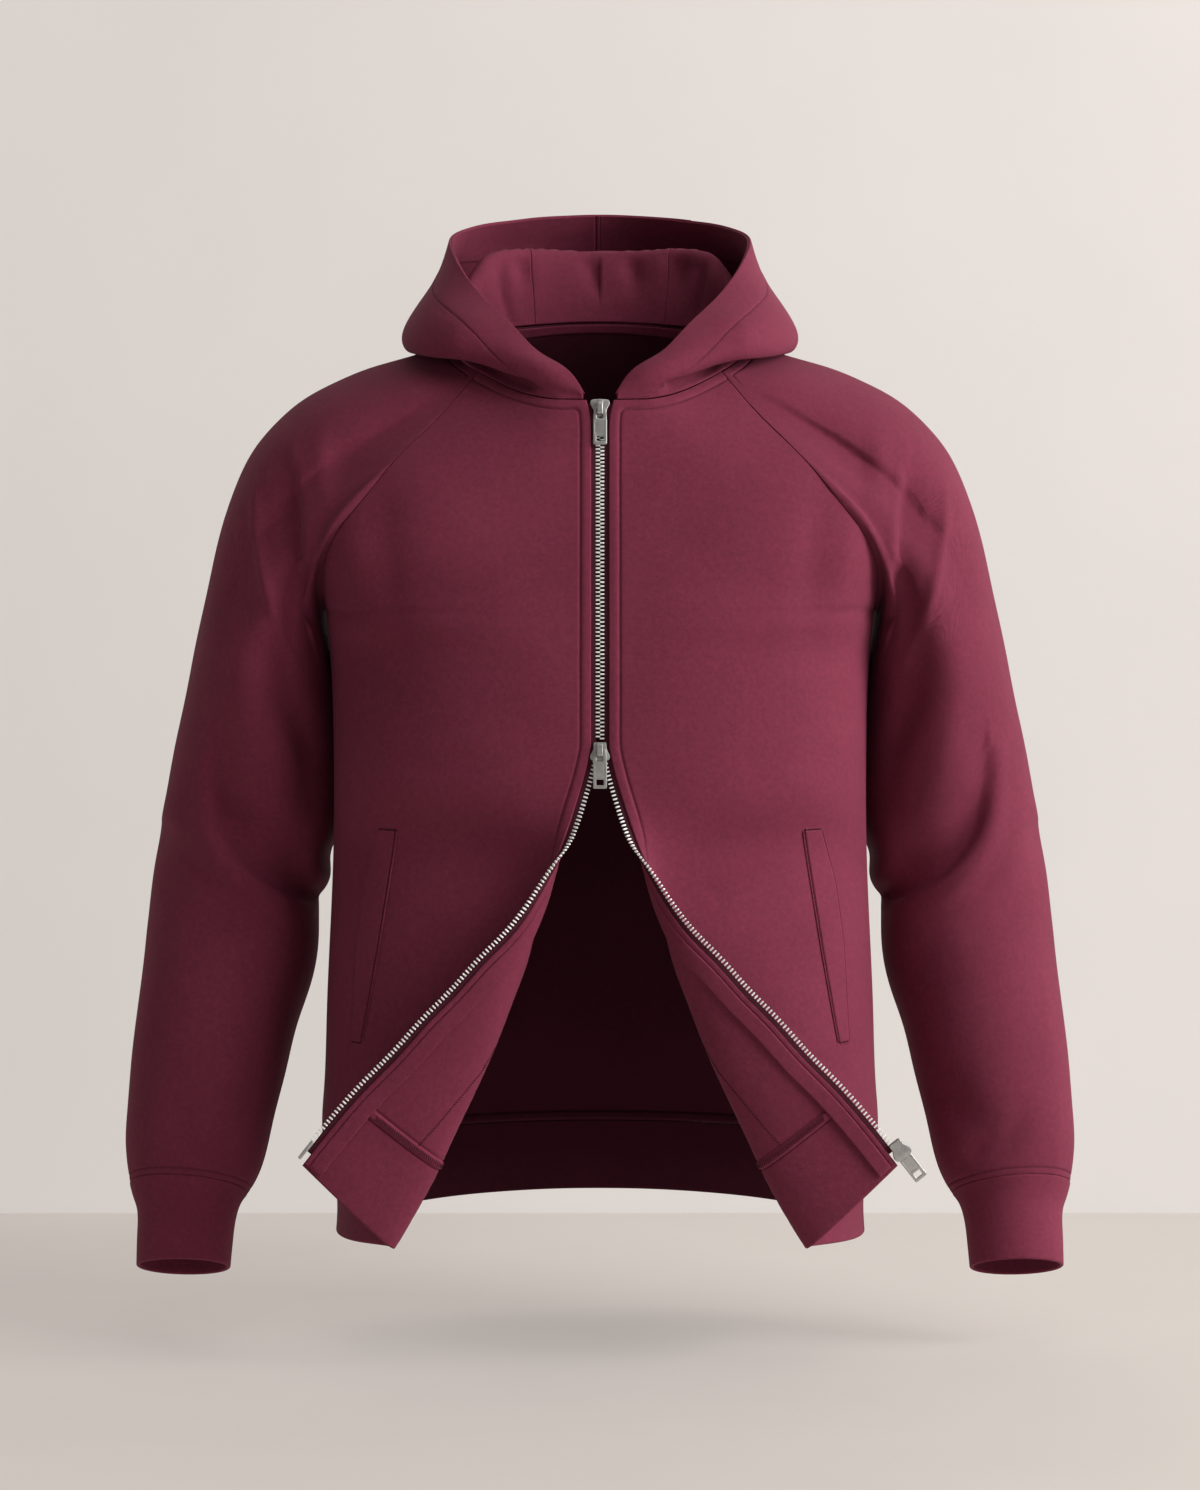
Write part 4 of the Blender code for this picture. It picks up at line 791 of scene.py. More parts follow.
def quads_of(rows, columns):
    """Faces of the closed shell between an outer and an inner grid."""
    top = np.arange(rows * columns).reshape(rows, columns)
    low = top + rows * columns
    strips = [
        (top[:-1, :-1], top[1:, :-1], top[1:, 1:], top[:-1, 1:]),
        (low[:-1, :-1], low[:-1, 1:], low[1:, 1:], low[1:, :-1]),
        (top[0, :-1], top[0, 1:], low[0, 1:], low[0, :-1]),
        (top[-1, 1:], top[-1, :-1], low[-1, :-1], low[-1, 1:]),
        (top[1:, 0], top[:-1, 0], low[:-1, 0], low[1:, 0]),
        (top[:-1, -1], top[1:, -1], low[1:, -1], low[:-1, -1]),
    ]
    return np.concatenate([np.stack(strip, axis=-1).reshape(-1, 4) for strip in strips])


def scene_object(name, data):
    made = bpy.data.objects.new(name, data)
    bpy.context.scene.collection.objects.link(made)
    return made


def mesh_object(name, points, quads, finish, uv, mirror):
    """An object from points in millimetres and faces of four corners."""
    if mirror:
        points, quads = points * FLIP, quads[:, ::-1]
    mesh = bpy.data.meshes.new(name)
    mesh.vertices.add(len(points))
    mesh.vertices.foreach_set("co", (points * MM).astype(np.float32).ravel())
    mesh.loops.add(quads.size)
    mesh.loops.foreach_set("vertex_index", quads.astype(np.int32).ravel())
    mesh.polygons.add(len(quads))
    mesh.polygons.foreach_set("loop_start", np.arange(0, quads.size, 4, dtype=np.int32))
    mesh.update(calc_edges=True)
    layer = mesh.uv_layers.new(name="cloth")
    layer.data.foreach_set("uv", (uv[quads.ravel()] * MM).astype(np.float32).ravel())
    mesh.validate()
    mesh.shade_smooth()
    mesh.materials.append(finish)
    return scene_object(name, mesh)


def shell(name, data, out, thick=CLOTH, rolls=EDGES, lift=0.0, sunk=0.0, under=None, mirror=False,
          finish=FLEECE, slot="fleece", painted_shade_finish=None, painted_shade_faces=1):
    """A cloth piece from a fine grid.

    rolls names the channels of the edges that roll in. sunk is how far the outer side dips and under how far
    the inner side does. An inner face marked 1 gets the painted-shade finish, a darker copy of the fleece for
    deep shade.
    """
    points = data[..., :3]
    radius = thick / 2 - 0.03
    turn = np.max([rolled(data[..., side], radius) for side in rolls], axis=0)
    under = -0.35 * sunk if under is None else under
    outer = points + out * (lift - turn - sunk)[..., None]
    inner = points + out * (lift - thick + turn + under)[..., None]
    rows, columns = points.shape[:2]
    shape = np.concatenate([outer.reshape(-1, 3), inner.reshape(-1, 3)])
    uv = np.tile(data[..., [RIGHT, TOP]].reshape(-1, 2), (2, 1))
    made = mesh_object(name + "_cloth", shape, quads_of(rows, columns), finish, uv, mirror)
    # The marked inner faces get a darker copy of the finish, with painted shade.
    if painted_shade_finish is not None:
        made.data.materials.append(painted_shade_finish)
        slots = np.zeros(len(made.data.polygons), np.int32)
        face = (rows - 1) * (columns - 1)
        slots[face : 2 * face] = painted_shade_faces
        made.data.polygons.foreach_set("material_index", slots)
    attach(made, "garment")
    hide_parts(name)


def both_shells(name, data, out, thick=CLOTH, **how):
    """The same piece on the wearer's right and on the left."""
    shell(name + "_right", data, out, thick, **how)
    shell(name + "_left", data, out, thick, mirror=True, **how)


def lean(out, wanted, distance, reach=2.0):
    """Turns the normals near an edge to those of the seam, so that the pieces sewn there meet."""
    weight = np.exp(-((distance / reach) ** 2))[..., None]
    return unit(out * (1 - weight) + wanted * weight)


# ---------------------------------------------------------------- sewing
# A stitch's stations: place along it, rise and thickness, in shares of half its length and of its radius.
STITCH = ((-1.0, -0.55, 0.55), (-0.62, 0.05, 0.9), (0.0, 0.3, 1.0), (0.62, 0.05, 0.9), (1.0, -0.55, 0.55))
STITCH_SIDES = 6


def stitches(name, points, out, mirror=False, pitch=3.0, share=0.8, radius=0.33, slant=0.0, finish=THREAD):
    """A row of stitches as thread that dips into the cloth between them."""
    out = unit(out)
    run = run_of(points)
    count = max(1, int(run[-1] / pitch))
    middle = (np.arange(count) + 0.5) * run[-1] / count
    heading = unit(along(points, run, middle + 0.3) - along(points, run, middle - 0.3))
    up = unit(along(out, run, middle))
    across = unit(np.cross(heading, up))
    heading = unit(heading + across * slant)
    across = unit(np.cross(heading, up))
    half = pitch * share / 2 * math.hypot(1, slant)
    angle = np.arange(STITCH_SIDES)[:, None] * 2 * np.pi / STITCH_SIDES
    circle = across[:, None] * np.cos(angle) + up[:, None] * np.sin(angle)
    ring = []
    for place, rise, fat in STITCH:
        centre = along(points, run, middle) + heading * half * place + up * radius * rise
        ring.append(centre[:, None] + circle * radius * fat)
    shape = np.stack(ring, axis=1)  # stitch, station, side, xyz
    number = np.arange(len(STITCH) * STITCH_SIDES).reshape(len(STITCH), STITCH_SIDES)
    after = np.roll(number, -1, axis=1)
    sides = np.stack([number[:-1], after[:-1], after[1:], number[1:]], axis=-1).reshape(-1, 4)
    first, last = number[0], number[-1]
    faces = np.concatenate([sides, [first[[3, 2, 1, 0]], first[[0, 5, 4, 3]], last[:4], last[[3, 4, 5, 0]]]])
    quads = (faces + np.arange(count)[:, None, None] * number.size).reshape(-1, 4)
    shape = shape.reshape(-1, 3)
    uv = shape[:, [0, 2]] * (-1 if mirror else 1, 1)
    made = mesh_object(name, shape, quads, finish, uv, mirror)
    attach(made, "garment")


def both_stitches(name, points, out, **how):
    stitches(name + "_right", points, out, **how)
    stitches(name + "_left", points, out, mirror=True, **how)


def between(grid, row, column, share, sideways=False):
    """A point of a grid between two of its rows, or of its columns."""
    after = grid[row, column + 1] if sideways else grid[row + 1, column]
    return grid[row, column] * (1 - share) + after * share


def crossing(data, out, *at):
    """A point of a panel and its normal, between two rows or two columns."""
    return between(data, *at)[:3], unit(between(out, *at))


def level_line(data, out, channel, at):
    """The line over a panel's columns at a set distance from its top or its foot."""
    lines = []
    for j, distance in enumerate((data[..., channel] - at).T):
        i = int(np.argmax(distance[:-1] * distance[1:] <= 0))
        lines.append(crossing(data, out, i, j, distance[i] / (distance[i] - distance[i + 1])))
    return tuple(np.array(line) for line in zip(*lines))


def topstitched(name, data, out, channel, at, deep, sew=both_stitches, **how):
    """Stitches at a set distance from a panel's top or foot, sunk that deep in its outer side."""
    path, path_out = level_line(data, out, channel, at)
    sew(name, path - path_out * deep, path_out, **how)


def contour(data, out, field, at):
    """The line where a field that grows from a panel's top and from its right edge reaches a value."""
    turn = at + 0.9  # past this distance from one edge the line runs along the other
    row = 12  # any row near the top
    lines = []
    columns = np.flatnonzero(data[row, :, RIGHT] > turn)
    for j in columns:
        i = int(np.argmax(field[:, j] >= at)) - 1
        lines.append(crossing(data, out, i, j, (at - field[i, j]) / (field[i + 1, j] - field[i, j])))
    for i in np.flatnonzero(data[:, columns[-1], TOP] > turn)[:-2]:
        j = field.shape[1] - 1 - int(np.argmax(field[i, ::-1] >= at))
        share = (field[i, j] - at) / (field[i, j] - field[i, j + 1])
        lines.append(crossing(data, out, i, j, share, True))
    return tuple(np.array(line) for line in zip(*lines))


# ---------------------------------------------------------------- the soft folds
# Each runs from a by way of b to c, seen from the front, on the wearer's right and mirrored on the left.
# Width and depth are in millimetres, a depth below 0 is a ridge, and the skew is as in pressed.
CREASE = "ax az bx bz cx cz width depth skew"
SLEEVE_CREASES = table(
    CREASE,
    (-241, -100, -236, -150, -228, -214, 12, 9.0, 0.6),
    (-270, -112, -271, -168, -240, -246, 5, -3.6, 0),
    (-286, -150, -284, -200, -268, -240, 15, 3.0, 0),
    (-217, -72, -216, -95, -213, -120, 9, -2.5, 0),
    (-162, -56, -188, -74, -214, -118, 12, 1.4, 0),
    (-244, -282, -236, -300, -226, -322, 11, 2.5, 0),
    (-262, -262, -256, -300, -236, -340, 11, -2.5, 0),
    (-306, -318, -312, -400, -232, -434, 10, 7.0, -0.55),
    (-316, -316, -326, -404, -254, -444, 8, -3.0, 0),
    (-290, -362, -272, -402, -240, -412, 9, 3.5, 0),
    (-326, -404, -312, -420, -294, -426, 7, 2.5, 0),
    (-330, -600, -322, -622, -302, -632, 10, 3.0, 0),
    (-300, -620, -292, -632, -284, -634, 8, 2.5, 0),
)
SLEEVE_CREASES_BEHIND = table(
    CREASE,
    (-232, -150, -250, -205, -276, -250, 13, 5.0, 0.3),
    (-256, -130, -282, -190, -300, -260, 10, -3.5, 0),
    (-240, -395, -290, -430, -345, -400, 12, 5.5, 0.4),
    (-250, -330, -290, -352, -330, -345, 14, 3.0, 0),
    (-262, -470, -290, -492, -330, -480, 11, -3.0, 0),
    (-290, -590, -312, -615, -345, -606, 11, 3.0, 0),
    (-186, -75, -205, -105, -214, -140, 14, 3.0, 0),
)
FRONT_CREASES = table(
    CREASE,
    (-199, -138, -190, -160, -184, -205, 11, -2.2, 0),
    (-170, -118, -162, -160, -160, -225, 14, 2.6, 0),
)
BACK_CREASES = table(
    CREASE,
    (-205, -200, -165, -245, -110, -262, 17, 4.0, 0),
    (-200, -160, -150, -205, -95, -222, 16, -3.0, 0),
    (-195, -330, -140, -372, -60, -380, 20, 3.0, 0),
    (-190, -420, -120, -470, -20, -476, 24, -2.6, 0),
    (-200, -520, -150, -548, -70, -552, 18, 3.0, 0),
    (-70, -60, -74, -140, -60, -230, 26, 2.0, 0),
)


# ---------------------------------------------------------------- the body
# Where the pocket's bag is sewn to the inner side of a front, as it shows on the turned-back part.
POCKET_BAG = table("x z", (-79.7, -537.6), (-90.6, -557), (-105.6, -576), (-122, -596), (-139, -615))
OVERLOCK_LINE = 4.0  # the overlocking's middle above the hem band's seam
OVERLOCK_RISE = 1.25  # how far its ridge stands out
OVERLOCK_IN = CLOTH + OVERLOCK_RISE + 0.1  # its thread, behind the outer side of the cloth
DENSE = np.linspace(0, 1, 130)


def front_rows(levels):
    """Dense rows of the right front, from the side seam over the fold to the zip's edge."""
    body, flap = front_curves(levels)
    return np.concatenate([bezier(*body, DENSE), bezier(*flap, np.linspace(0, 1, 170))[:, 1:]], axis=1)


def back_rows(levels, shares=DENSE):
    """Rows right across the back."""
    half = back_grid(levels, shares)
    return np.concatenate([(half * FLIP)[:, :-1], half[:, ::-1]], axis=1)


def overlock_thread(name, data, out, sew):
    """The thread that crosses the ridge over the hem band's seam, on the inner side."""
    how = {"pitch": 1.9, "share": 0.9, "slant": 2.6, "finish": DARK_THREAD_AND_SHADOW}
    topstitched(name, data, -out, FOOT, OVERLOCK_LINE, -OVERLOCK_IN, sew, **how)


def make_front():
    """Both fronts, with topstitching, the overlocking over the band's seam and the pocket bag's line."""
    levels = np.linspace(0, BAND_SEAM, 260)
    data = fine(front_rows(levels), (ROLL, STITCHED, 88), (STITCHED, SEAM_ROWS, 122))
    out = normals(data)
    data[..., :3] = pressed(data[..., :3], out, FRONT_CREASES, -1)
    out = uneven(data, out)
    row_levels = np.interp(data[:, 0, TOP], *level_run(data))
    out = lean(out, side_normals(row_levels)[:, None], data[..., LEFT])
    inward = corner(data[..., TOP], data[..., RIGHT])
    edge_ridge = groove(inward, 4.6, 0.40, 2.4)  # the cloth stands up between the edge and the stitching
    sunk = groove(inward, STITCH_IN, 0.95, 0.95) - edge_ridge
    under = -0.35 * sunk - overlocked(data[..., FOOT]) * smooth((data[..., RIGHT] - 12) / 3)
    both_shells("front", data, out, sunk=sunk, under=under)
    path, path_out = contour(data, out, inward, STITCH_IN)
    both_stitches("front_stitching", path - path_out * 0.85, path_out)
    shown = data[-1, :, RIGHT] > 17  # clear of the strip that binds the zip's edge
    overlock_thread("front_overlock", data[:, shown], out[:, shown], both_stitches)
    turned_back = (out[..., 1] > 0.2) & (data[..., RIGHT] < 170) & (data[..., 1] < -60)  # beyond the fold
    path, path_out = traced(data[turned_back], out[turned_back], POCKET_BAG)
    path = path - path_out * (CLOTH + 0.1)
    both_stitches("pocket_stitching", path, -path_out, pitch=2.3, radius=0.36, slant=0.9, finish=DARK_THREAD_AND_SHADOW)


def traced(data, out, line):
    """The line over part of a panel that looks like a given one from the front."""
    run = np.linspace(0, 1, 60)
    knots = np.linspace(0, 1, len(line["x"]))
    path, path_out = [], []
    for x, z in zip(np.interp(run, knots, line["x"]), np.interp(run, knots, line["z"])):
        k = int(np.argmin((data[:, 0] - x) ** 2 + (data[:, 2] - z) ** 2))
        near, n = data[k], out[k]
        path.append((x, near[1] - (n[0] * (x - near[0]) + n[2] * (z - near[2])) / n[1], z))
        path_out.append(n)
    return np.array(path), np.array(path_out)


def overlocked(distance):
    """The ridge of an overlocked seam on the inner side, by the distance from the seam."""
    ridge = smooth((distance - 0.5) / 1.3) * smooth((7.4 - distance) / 1.3)
    return OVERLOCK_RISE * ridge - groove(distance, 8.1, 0.7, 0.6)


def level_run(data):
    """Distances down the side seam and the levels that they are at."""
    levels = np.linspace(0, BAND_SEAM, 400)
    run = run_of(edge_points(FRONT_EDGE, levels))
    return run * data[-1, 0, TOP] / run[-1], levels


def corner(a, b, radius=7.0):
    """The lesser of two distances, rounded where they are alike."""
    h = np.clip(0.5 + 0.5 * (b - a) / radius, 0, 1)
    return b * (1 - h) + a * h - radius * h * (1 - h) * 0.5


def make_back():
    data = fine(back_rows(np.linspace(0, BAND_SEAM, 240)), (ROLL, ROLL, 120), (STITCHED, SEAM_ROWS, 110))
    out = normals(data)
    for mirror in (False, True):
        data[..., :3] = pressed(data[..., :3], out, BACK_CREASES, 1, mirror=mirror)
    out = uneven(data, out)
    sunk = groove(data[..., TOP], STITCH_IN, 0.9, 0.95)
    under = -0.35 * sunk - overlocked(data[..., FOOT])
    # The back's inner side gets the fleece with painted shade.
    shell("back", data, out, sunk=sunk, under=under, painted_shade_finish=PAINTED_SHADE_FLEECE)
    topstitched("back_stitching", data, out, TOP, STITCH_IN, 0.8, stitches)
    overlock_thread("back_overlock", data, out, stitches)


def make_band():
    levels = np.linspace(BAND_SEAM, HEM, 40)
    right = front_rows(levels)
    whole = np.concatenate([(right[:, ::-1] * FLIP)[:, :-1], back_rows(levels), right[:, 1:]], axis=1)
    data = fine(whole, (ROLL, ROLL, 330), (ROLL, ROLL, 22))
    out = uneven(data, normals(data))
    # The faces behind, whose inner side gets the fleece with painted shade.
    behind = (data[:-1, :-1, 1] > 0).ravel()
    shell("hem_band", data, out, TRIM, lift=TRIM - CLOTH, painted_shade_finish=PAINTED_SHADE_FLEECE, painted_shade_faces=behind)


# ---------------------------------------------------------------- the sleeves
ELBOW = (-206, -402)  # the inside of the bent elbow, across and up
ELBOW_PINCH = 9.0  # how far it is drawn in


def make_sleeves():
    """Both sleeves, with their folds and topstitching, and both cuffs."""
    levels = np.concatenate([np.linspace(0, 150, 40), np.linspace(152, UNDERARM, 14)])
    neck_shares = np.linspace(0, 1, 24)
    at = np.concatenate([np.linspace(0, 1, 60), np.linspace(1.03, SLEEVE_SEAM, 150)])
    grid, seam_out, round_at = sleeve_grid(at, levels, neck_shares)
    grid = np.concatenate([grid, grid[:, :1]], axis=1)
    round_at = np.append(round_at, 360.0)
    seam_out = np.vstack([seam_out, seam_out[:1]])
    extra = np.broadcast_to(round_at, grid.shape[:2])
    data = fine(grid, (ROLL, ROLL, 170), (STITCHED, CUFF_STITCHED, 200), extra)
    out = tube_normals(data)
    creased = pressed(pressed(data[..., :3], out, SLEEVE_CREASES, -1), out, SLEEVE_CREASES_BEHIND, 1)
    free = (smooth(data[..., TOP] / 10) * smooth(data[..., FOOT] / 14))[..., None]
    data[..., :3] = data[..., :3] * (1 - free) + creased * free
    pinch = np.exp(-(((data[..., 0] - ELBOW[0]) / 14) ** 2) - ((data[..., 2] - ELBOW[1]) / 17) ** 2)
    data[..., 0] -= ELBOW_PINCH * pinch
    ends = np.clip(data[..., TOP] / 25, 0, 1) * np.clip(data[..., FOOT] / 15, 0, 1)
    data[..., :3] += out * (waves(data, 0.45, 80) * ends)[..., None]
    out = tube_normals(data)
    seam = unit(along(seam_out, round_at, data[0, :, 3]))
    out = lean(out, seam, data[..., TOP])
    _, neck_from, neck_to, _ = CORNERS_ROUND
    over_neck = smooth((data[..., 3] - neck_from + 4) / 8) * smooth((neck_to + 4 - data[..., 3]) / 8)
    sunk = groove(data[..., TOP], STITCH_IN, 0.95, 0.95) * over_neck
    sunk += groove(data[..., FOOT], CUFF_STITCH, 0.8, 0.8)
    both_shells("sleeve", data, out, sunk=sunk)
    over = over_neck[0] > 0.5
    topstitched("sleeve_stitching", data[:, over], out[:, over], TOP, STITCH_IN, 0.85)
    topstitched("cuff_stitching", data, out, FOOT, CUFF_STITCH, 0.7)

    at = np.concatenate([[0, 0.5], np.linspace(SLEEVE_SEAM, SLEEVE_END, 40)])
    grid = sleeve_grid(at, levels, neck_shares)[0][2:]
    data = fine(np.concatenate([grid, grid[:, :1]], axis=1), (ROLL, ROLL, 96), (ROLL, ROLL, 26))
    both_shells("cuff", data, tube_normals(data), TRIM, lift=(TRIM - CLOTH) / 2)


def tube_normals(data):
    """The outward normals of a tube, alike on its first and last columns."""
    out = -normals(data)
    out[:, 0] = out[:, -1] = unit(out[:, 1] + out[:, -2])
    return out


# ---------------------------------------------------------------- the hood
# Soft dents and swellings in the hood's stand, on each side by itself. A swelling's depth is below 0 in the
# other tables and above 0 here, because the stand is seen from its inner side.
STAND_RIGHT = table(
    CREASE,
    (-81, 82, -83, 58, -73, 34, 5, -5.0, 0),
    (-94, 84, -94, 62, -86, 42, 6, 2.5, 0),
    (-67, 92, -64, 82, -62, 68, 7, -5.0, 0),
    (-68, 60, -66, 52, -64, 44, 9, -2.0, 0),
    (-10, 93, -7, 84, 0, 66, 9, -4.5, 0),
)
STAND_LEFT = table(
    CREASE,
    (-84, 80, -85, 58, -76, 36, 5, -5.0, 0),
    (-95, 84, -94, 62, -86, 42, 6, 2.5, 0),
    (-70, 89, -66, 78, -62, 62, 9, -5.5, 0),
    (-26, 94, -27, 82, -29, 66, 9, -5.5, 0),
    (-51, 94, -49, 86, -47, 78, 5, 1.5, 0),
)
FACING_STITCH = 30.0  # the topstitching's distance from the hood's rim
HOOD_RIM = ROLL + [8, 12, 16, 20, 24, 27, 28.6, 29.3, 29.7, 30.0, 30.3, 30.7, 31.4, 33]
CENTRE = ROLL[:6] + [2.2, 2.8, 3.3, 3.7, 4.1, 4.6, 5.4, 7]  # the facing's seam at the centre back
FACING_ROWS = 24
TUCK = 8.5  # how deep the hood's bag tucks in over the neck seam
TUCK_UP = 7.0  # the tuck's height above that seam
STAND_SHARE = 0.158  # the share of the rows that belongs to the stand


def hood_panel(name, stitching, part, columns, mirror=False):
    """An outer panel of the hood, with the stitching that holds its facing."""
    data = fine(part, (ROLL, ROLL, columns), (ROLL, HOOD_RIM, 110))
    out = uneven(data, normals(data), 70)
    shell(name, data, out, sunk=groove(data[..., FOOT], FACING_STITCH, 0.6, 0.8), mirror=mirror)
    topstitched(stitching, data, out, FOOT, FACING_STITCH, 0.5, stitches, mirror=mirror)


def make_hood():
    """The hood's sides and centre, the facing inside its rim, and the dents of its stand."""
    shares = np.concatenate([np.linspace(0.008, 0.10, 16), np.linspace(0.112, HOOD_SEAM, 90)])
    seam_at = len(shares) - 1
    shares = np.concatenate([shares, np.linspace(HOOD_SEAM, 1.0, 34)[1:]])
    side = read(NECK_SIDE, "share", "x y z", np.linspace(0, 1, 40))
    points, places = neckline(front_rows([0.0])[0], side, back_grid([0.0], np.linspace(0, 1, 60))[0])
    seam = along(points, places, shares) + np.array([0.0, 0.0, 0.3])
    right = hood_grid(seam, shares, np.linspace(0, 5, 110), np.linspace(0, 1, FACING_ROWS)[1:])
    tucked = smooth((shares - 0.115) / 0.035) * smooth((0.62 - shares) / 0.14)  # at the sides of the neck
    right = right - normals(right) * (groove(run_of(right), TUCK_UP, TUCK, 3.6) * tucked)[..., None]
    stand = smooth((STAND_SHARE - np.linspace(0, 1, len(right))) / 0.03)[:, None, None]
    halves = []
    for folds, side_name, mirror in ((STAND_RIGHT, "_right", False), (STAND_LEFT, "_left", True)):
        half = right * (1 - stand) + pressed(right, normals(right), folds, 1) * stand
        halves.append(half)
        hood_panel("hood_side" + side_name, "hood_stitching" + side_name, half[:, : seam_at + 1], 74, mirror)
        data = fine(half[-FACING_ROWS:], (ROLL, CENTRE, 110), (ROLL, ROLL, 16))
        out = uneven(data, normals(data), 70)
        under = groove(data[..., RIGHT], 3.7, 0.9, 0.6) * (0 if mirror else 1)
        shell("hood_facing" + side_name, data, out, 1.3, lift=-CLOTH, under=under, mirror=mirror)
    right, left = (half[:, seam_at:] for half in halves)
    centre = np.concatenate([right, (left[:, ::-1] * FLIP)[:, 1:]], axis=1)
    hood_panel("hood_centre", "hood_stitching_centre", centre, 78)


# ---------------------------------------------------------------- what is sewn on
STRIP_THICK = 1.0
# Rows and columns near the edges of a pocket welt, which are creased all round.
WELT_COLUMNS = ROLL[:5] + [1.3, 1.6, 1.9, 2.2, 2.5, 3.0, 4.0]
WELT_EDGE = 1.9  # the crease inside its edges
WELT_RISE = 1.2  # the welt's face above the front
# Distances back from the zip's edge and beyond it, for the columns of the tape and of the binding strip.
TAPE_ACROSS = [9, 8.8, 8.2, 7, 5, 3, 1.5, 0]
TAPE_BEYOND = (0.8, 1.6, 2.4, 3.0, 3.5)
STRIP_ACROSS = [16, 15.9, 15.7, 15.3, 14.6, 13.6, 11.6, 9, 7, 6.2, 5.6, 5.2, 4.9, 4.6, 4.3, 4.0, 3.6]
STRIP_ACROSS += [2.6, 1.6, 0.9, 0.5, 0.3]


def edge_strip(first, last, distances, beyond=()):
    """Rows across the zip's edge: points at distances back from it, and beyond it where a tape shows."""
    levels = np.concatenate([np.arange(first, 260, 3.0), np.arange(260, last, 2.0)])
    grid = bezier(*front_curves(levels)[1], shares_from_edge(levels, distances))
    _, _, away, _ = edge_frames(levels)
    past = [grid[:, -1:] + away[:, None] * step for step in beyond]
    return measured(np.concatenate([grid] + past, axis=1))


def measured(grid):
    """A grid with each point's distances from the panel's edges, its points left where they are."""
    across, down = run_of(grid, axis=1), run_of(grid)
    distances = np.stack([across, across[:, -1:] - across, down, down[-1:] - down], axis=-1)
    return np.concatenate([grid, distances], axis=2)


def make_strips():
    """The zip's tapes, the strips that bind them inside and the neck tape."""
    inside = -(CLOTH + 0.1)
    data = edge_strip(3, 647, TAPE_ACROSS, TAPE_BEYOND)
    how = {"rolls": (LEFT, RIGHT), "finish": TAPE, "slot": "tape"}
    both_shells("zip_tape", data, normals(data), TAPE_THICK, lift=inside - 0.2, **how)

    data = edge_strip(4, 656, STRIP_ACROSS)
    under = groove(data[..., RIGHT], 4.2, 0.8, 0.5) + 0.5 * smooth((4.6 - data[..., RIGHT]) / 0.8)
    how = {"lift": inside - TAPE_THICK - 0.15, "under": under, "slot": "tape"}
    both_shells("zip_facing", data, normals(data), STRIP_THICK + 0.7, **how)

    data = measured(back_rows(np.linspace(0.6, 7.6, 12), np.linspace(0.03, 1, 60)))
    shell("neck_tape", data, normals(data), STRIP_THICK, lift=inside, slot="tape")


def make_welts():
    """The pocket welts, pressed and uneven like the fronts they lie on, with creases round them and dark
    cords in those creases as painted shadow.
    """
    levels = np.linspace(WELT["level"][0], WELT["level"][-1], 90)
    far, near = welt_shares(levels)
    shares = far[:, None] + (near - far)[:, None] * np.linspace(0, 1, 14)
    near = (WELT_COLUMNS, WELT_COLUMNS)
    data = fine(front_grid(levels, shares), (*near, 4), (*near, 70))
    out = normals(data)
    data[..., :3] = pressed(data[..., :3], out, FRONT_CREASES, -1)
    out = uneven(data, out)
    sunk = WELT_RISE * (1 - smooth(np.minimum(data[..., TOP], data[..., FOOT]) / 9 + 0.35))
    for edge, depth in ((RIGHT, 1.3), (LEFT, 0.6), (TOP, 1.2), (FOOT, 1.0)):
        sunk += groove(data[..., edge], WELT_EDGE, depth, 0.55)
    both_shells("pocket_welt", data, out, lift=WELT_RISE, sunk=sunk)
    row = 30  # any row well inside
    inner, outer = (int(np.argmin(np.abs(data[row, :, k] - WELT_EDGE))) for k in (RIGHT, LEFT))
    top, foot = (int(np.argmin(np.abs(data[:, inner, k] - WELT_EDGE))) for k in (TOP, FOOT))
    across = slice(outer, inner + 1)
    # Dark cords in the welt's creases, overlapping into unbroken lines: painted shadow, not stitching.
    for part_name, at, rise in (
        ("mouth", (slice(top, foot + 1), inner), 0.25),
        ("top", (top, across), 0.25),
        ("foot", (foot, across), 0.2),
    ):
        path = data[at][:, :3] + out[at] * rise
        both_stitches("welt_" + part_name, path, out[at], share=1.04, radius=0.5, finish=DARK_THREAD_AND_SHADOW)


# ---------------------------------------------------------------- metal
def rounded_outline(points, radii, steps=5):
    """A closed outline with each corner rounded by its own radius."""
    points = np.asarray(points, float)
    made = []
    for k, radius in enumerate(radii):
        at, before, after = points[k], points[k - 1] - points[k], points[(k + 1) % len(points)] - points[k]
        reach = min(radius, 0.45 * np.linalg.norm(before), 0.45 * np.linalg.norm(after))
        made.append(bow(at + unit(before) * reach, at, at + unit(after) * reach, steps))
    return np.concatenate(made)


def symmetric(*right):
    """A rounded outline from the corners of its right half: across, down and the radius of each."""
    left = [(-x, y, radius) for x, y, radius in right]
    rows = np.array([left[0], *right, *left[:0:-1]])
    return rounded_outline(rows[:, :2], rows[:, 2])


def box_outline(width, height, radius, middle=(0, 0)):
    x, y = width / 2, height / 2
    corners = np.array([(-x, -y), (x, -y), (x, y), (-x, y)]) + np.asarray(middle, float)
    return rounded_outline(corners, [radius] * 4)


